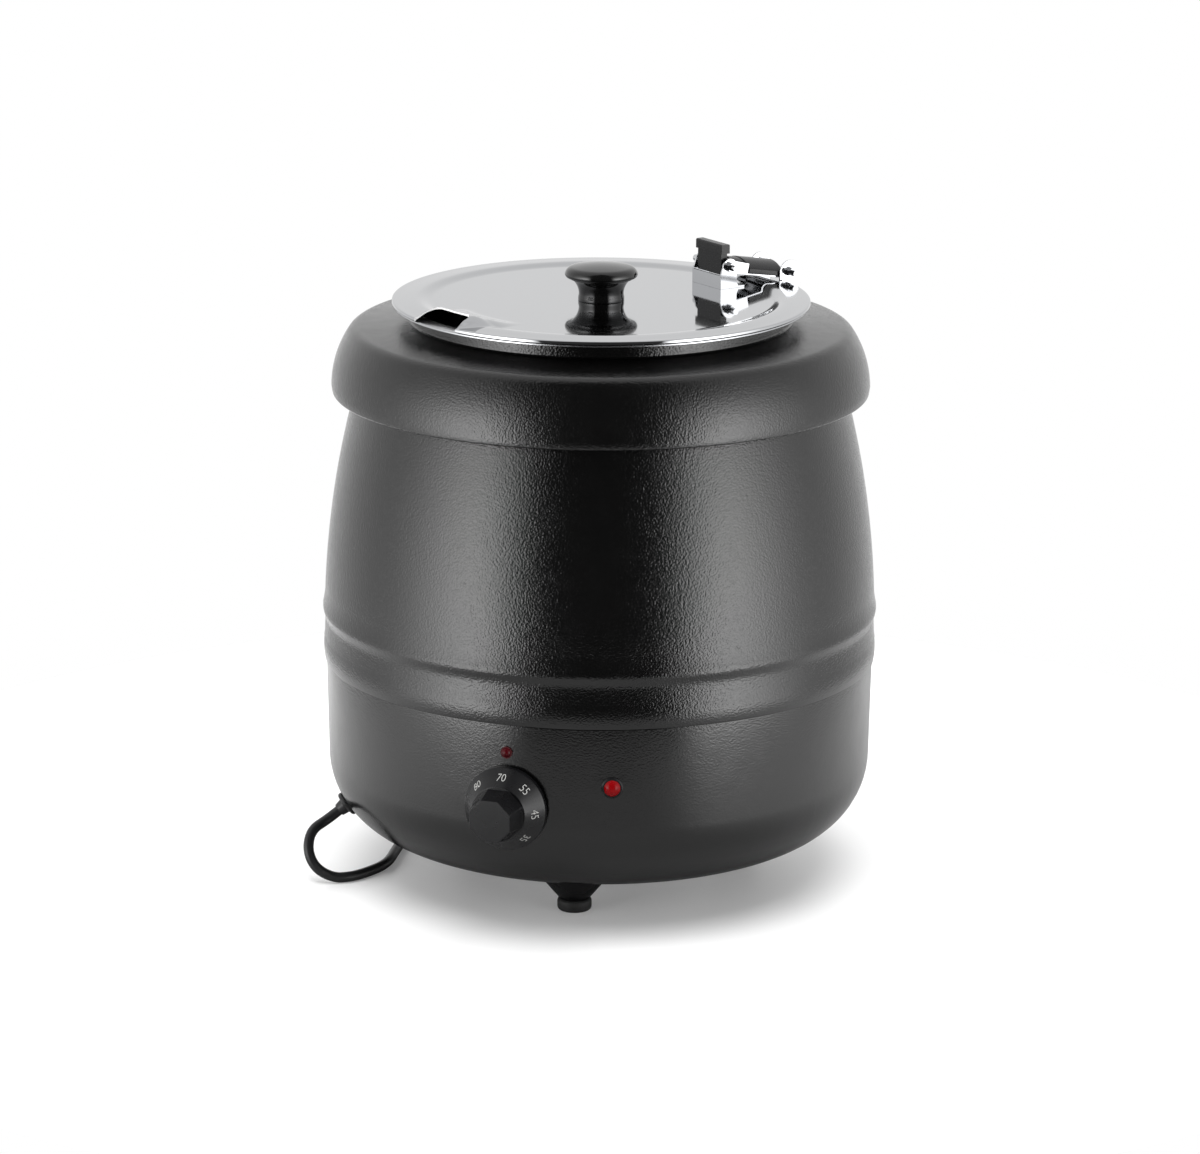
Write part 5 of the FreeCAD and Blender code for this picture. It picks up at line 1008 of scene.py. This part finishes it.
class KETTLE_OT_lid(bpy.types.Operator):
    """Makes the polished lid with a pressed hood over the ladle notch and a cut-out at the hinge"""
    bl_idname = "kettle.lid"
    bl_label = "Lid"

    def execute(self, context):
        mesh = turned("polished_lid", self.outline(), "mirror_steel", steps=LID_STEPS_ROUND)
        for corner in mesh.vertices:
            corner.co.z += self.hood(corner.co) * MM
        mesh = cut_out(mesh, [self.notch(), self.hinge_gap()], CUT_LOW * MM, CUT_HIGH * MM)
        new_piece("polished_lid", mesh, "lid", ["lid_shell"])
        return {"FINISHED"}

    def outline(self):
        """Turned-down rim, ring and recessed disc, in short runs where the hood is pressed."""
        reaches = [LID_RADIUS - LID_ROUND - LID_SPACING * step for step in range(LID_RUNS)]
        top = [(reach, self.height(reach)) for reach in reaches]
        under = [(reach, height - LID_WALL) for reach, height in reversed(top[1:])]
        disc, bore = self.height(0), LID_RADIUS - LID_WALL
        return [
            (0.0, disc - LID_WALL), *under, (bore, LID_EDGE - LID_WALL), (bore, LID_FOOT),
            (LID_RADIUS, LID_FOOT), (LID_RADIUS, LID_EDGE - LID_ROUND), ("left", LID_ROUND),
            *top, (0.0, disc),
        ]

    def height(self, reach):
        """Top of the ring and the disc at a distance from the lid's axis."""
        ring = LID_EDGE + LID_CROWN * eased((LID_RADIUS - reach) / LID_CROWN_RUN)
        return ring - LID_STEP * eased((LID_STEP_RADIUS - reach) / LID_STEP_RUN)

    def hood(self, spot):
        """Rise of the sheet round the notch: highest at its inner edge, with steep flanks at the rim."""
        reach = spot.xy.length / MM
        plan = spot.xy @ Matrix.Rotation(NOTCH_ANGLE, 2)
        if plan.x < 0:
            return 0
        flank = FLANK - FLANK_LOSS * min(max((reach - FLANK_START) / FLANK_RUN, 0), 1)
        loss = HOOD_LOSS * min(max((reach - HOOD_LOSS_START) / HOOD_LOSS_RUN, 0), 1)
        length = eased((reach - HOOD_START) / HOOD_RUN) * (1 - loss)
        return HOOD_RISE * length * (1 - eased((abs(plan.y) / MM - HOOD_HALF) / flank))

    def notch(self):
        """Plan of the notch: two sides that open a little towards the rim and two rounded corners."""
        turn = Matrix.Rotation(NOTCH_ANGLE, 2)
        half = [(CUT_REACH, NOTCH_MOUTH), (NOTCH_RADIUS, NOTCH_HALF)]
        for degrees in range(10, 91, 10):
            angle = math.radians(degrees)
            side = NOTCH_HALF - NOTCH_CORNER + NOTCH_CORNER * math.cos(angle)
            half.append((NOTCH_RADIUS - NOTCH_CORNER * math.sin(angle), side))
        whole = half + [(x, -y) for x, y in reversed(half)]
        return [tuple(turn @ Vector(spot) * MM) for spot in whole]

    def hinge_gap(self):
        """Plan of the cut-out that clears the hinge's arm."""
        turn = Matrix.Rotation(HINGE_ANGLE, 2)
        half = [(CUT_REACH, HINGE_GAP_HALF), (HINGE_GAP_RADIUS, HINGE_GAP_HALF)]
        corners = [(x, -y) for x, y in reversed(half)] + half
        return [tuple(turn @ Vector(spot) * MM) for spot in corners]


class KETTLE_OT_knob(bpy.types.Operator):
    """Makes the lid's pressed knob"""
    bl_idname = "kettle.knob"
    bl_label = "Lid knob"

    def execute(self, context):
        knob = turned("pressed_knob", KNOB, "knob_black", edge=0.5 * MM, steps=128)
        new_piece("pressed_knob", knob, "lid", ["lid_knob"])
        return {"FINISHED"}


class KETTLE_OT_hinge(bpy.types.Operator):
    """Breaks the hard edges of the hinge's pressed and moulded pieces"""
    bl_idname = "kettle.hinge"
    bl_label = "Hinge"

    def execute(self, context):
        edge = context.scene.kettle_shape.moulded_edge
        for node, name in {"release_tab": "thumb_tab", "arm_cover": "arm_cap"}.items():
            eased_copy(node, name, edge, "moulded_black")
        chromed = {"lid_bracket": "lid_ears", "hinge_arm": "arm_channel", "rim_clip": "pot_clip"}
        for node, name in chromed.items():
            eased_copy(node, name, edge / 2, "hinge_chrome")
        return {"FINISHED"}


class KETTLE_OT_dial(bpy.types.Operator):
    """Makes the temperature dial and prints its numbers on the cone"""
    bl_idname = "kettle.dial"
    bl_label = "Dial"

    def execute(self, context):
        shape = context.scene.kettle_shape
        eased_copy("dial_knob", "dial", shape.moulded_edge, "moulded_black", tilt=25)
        work = bmesh.new()
        for text, angle in DIAL_NUMBERS.items():
            self.print_number(work, text, math.radians(angle), shape)
        mesh = settled(work, "dial_numbers")
        mesh.materials.append(finish("dial_ink"))
        new_piece("dial_numbers", mesh, "dial")
        return {"FINISHED"}

    def flat_number(self, text, shape):
        """Thin flat digits in short runs, so that they can be bent."""
        letters = bpy.data.curves.new("number", "FONT")
        letters.body = text
        letters.size = shape.digit_height / DIGIT_CAP
        letters.align_x = "CENTER"
        letters.align_y = "CENTER"
        letters.extrude = DIGIT_DEPTH
        letters.resolution_u = 4
        letters.offset = -DIGIT_THIN
        piece = bmesh.new()
        piece.from_mesh(plain(linked("number", letters)))
        bmesh.ops.remove_doubles(piece, verts=piece.verts, dist=DIGIT_WELD)
        bmesh.ops.triangulate(piece, faces=piece.faces)
        for _ in range(DIGIT_CUTS):
            long = [side for side in piece.edges if side.calc_length() > DIGIT_SPACING]
            bmesh.ops.subdivide_edges(piece, edges=long, cuts=1)
            bmesh.ops.triangulate(piece, faces=piece.faces)
        return piece

    def print_number(self, work, text, angle, shape):
        """Adds a number, wrapped on the dial's cone with its top outwards."""
        piece = self.flat_number(text, shape)
        out = spoke(DIAL_ANGLE).to_3d()
        up = Vector((0, 0, 1))
        right = up.cross(out)
        cone_low, cone_high = DIAL_CONE
        slant = (cone_low - cone_high).normalized()
        face = Vector((-slant.y, slant.x))
        for corner in piece.verts:
            across, along, depth = corner.co
            lift = depth + DIGIT_LIFT
            flat_radius = shape.digit_circle + along * slant.x
            rise = cone_high.y + (flat_radius - cone_high.x) / slant.x * slant.y + face.y * lift
            radius = flat_radius + face.x * lift
            spin = angle + across * DIGIT_WIDTH / flat_radius
            corner.co = (
                out * (DIAL_BACK + rise) + up * (DIAL_HEIGHT + radius * math.cos(spin))
                + right * (radius * math.sin(spin)))
        bmesh.ops.recalc_face_normals(piece, faces=piece.faces)
        work.from_mesh(settled(piece, "number"))


class KETTLE_OT_frame_finish(bpy.types.Operator):
    """Gives every frame node that still shows its finish"""
    bl_idname = "kettle.frame_finish"
    bl_label = "Frame finishes"

    def execute(self, context):
        for node in frame["nodes"].values():
            if node.hide_render:
                continue
            for place in node.material_slots:
                slot = place.material.name.split(".")[0]
                place.material = finish("pointer_lens" if node == frame["nodes"]["pointer_light"] else slot)
        return {"FINISHED"}


class KETTLE_PT_panel(bpy.types.Panel):
    """Lists the kettle's settings and pieces"""
    bl_label = "Soup kettle"
    bl_idname = "KETTLE_PT_panel"
    bl_space_type = "VIEW_3D"
    bl_region_type = "UI"
    bl_category = "Kettle"

    def draw(self, context):
        for group in (context.scene.kettle_shape, context.scene.kettle_finish, context.scene.kettle_stage):
            box = self.layout.box()
            for name in group.__annotations__:
                box.prop(group, name)
        for kind in OPERATORS:
            self.layout.operator(kind.bl_idname)


OPERATORS = (
    KETTLE_OT_stage, KETTLE_OT_cord, KETTLE_OT_painted_body, KETTLE_OT_feet, KETTLE_OT_pot, KETTLE_OT_lid,
    KETTLE_OT_knob, KETTLE_OT_hinge, KETTLE_OT_dial, KETTLE_OT_frame_finish,
)
GROUPS = {"kettle_shape": KettleShape, "kettle_finish": KettleFinish, "kettle_stage": KettleStage}


def register():
    for name, group in GROUPS.items():
        bpy.utils.register_class(group)
        setattr(bpy.types.Scene, name, PointerProperty(type=group))
    for kind in (*OPERATORS, KETTLE_PT_panel):
        bpy.utils.register_class(kind)


def unregister():
    for kind in (KETTLE_PT_panel, *reversed(OPERATORS)):
        bpy.utils.unregister_class(kind)
    for name, group in GROUPS.items():
        delattr(bpy.types.Scene, name)
        bpy.utils.unregister_class(group)


def main():
    register()
    bpy.ops.kettle.stage()
    bpy.ops.kettle.cord()
    bpy.ops.kettle.painted_body()
    bpy.ops.kettle.feet()
    bpy.ops.kettle.pot()
    bpy.ops.kettle.lid()
    bpy.ops.kettle.knob()
    bpy.ops.kettle.hinge()
    bpy.ops.kettle.dial()
    bpy.ops.kettle.frame_finish()


if __name__ == "__main__":
    main()
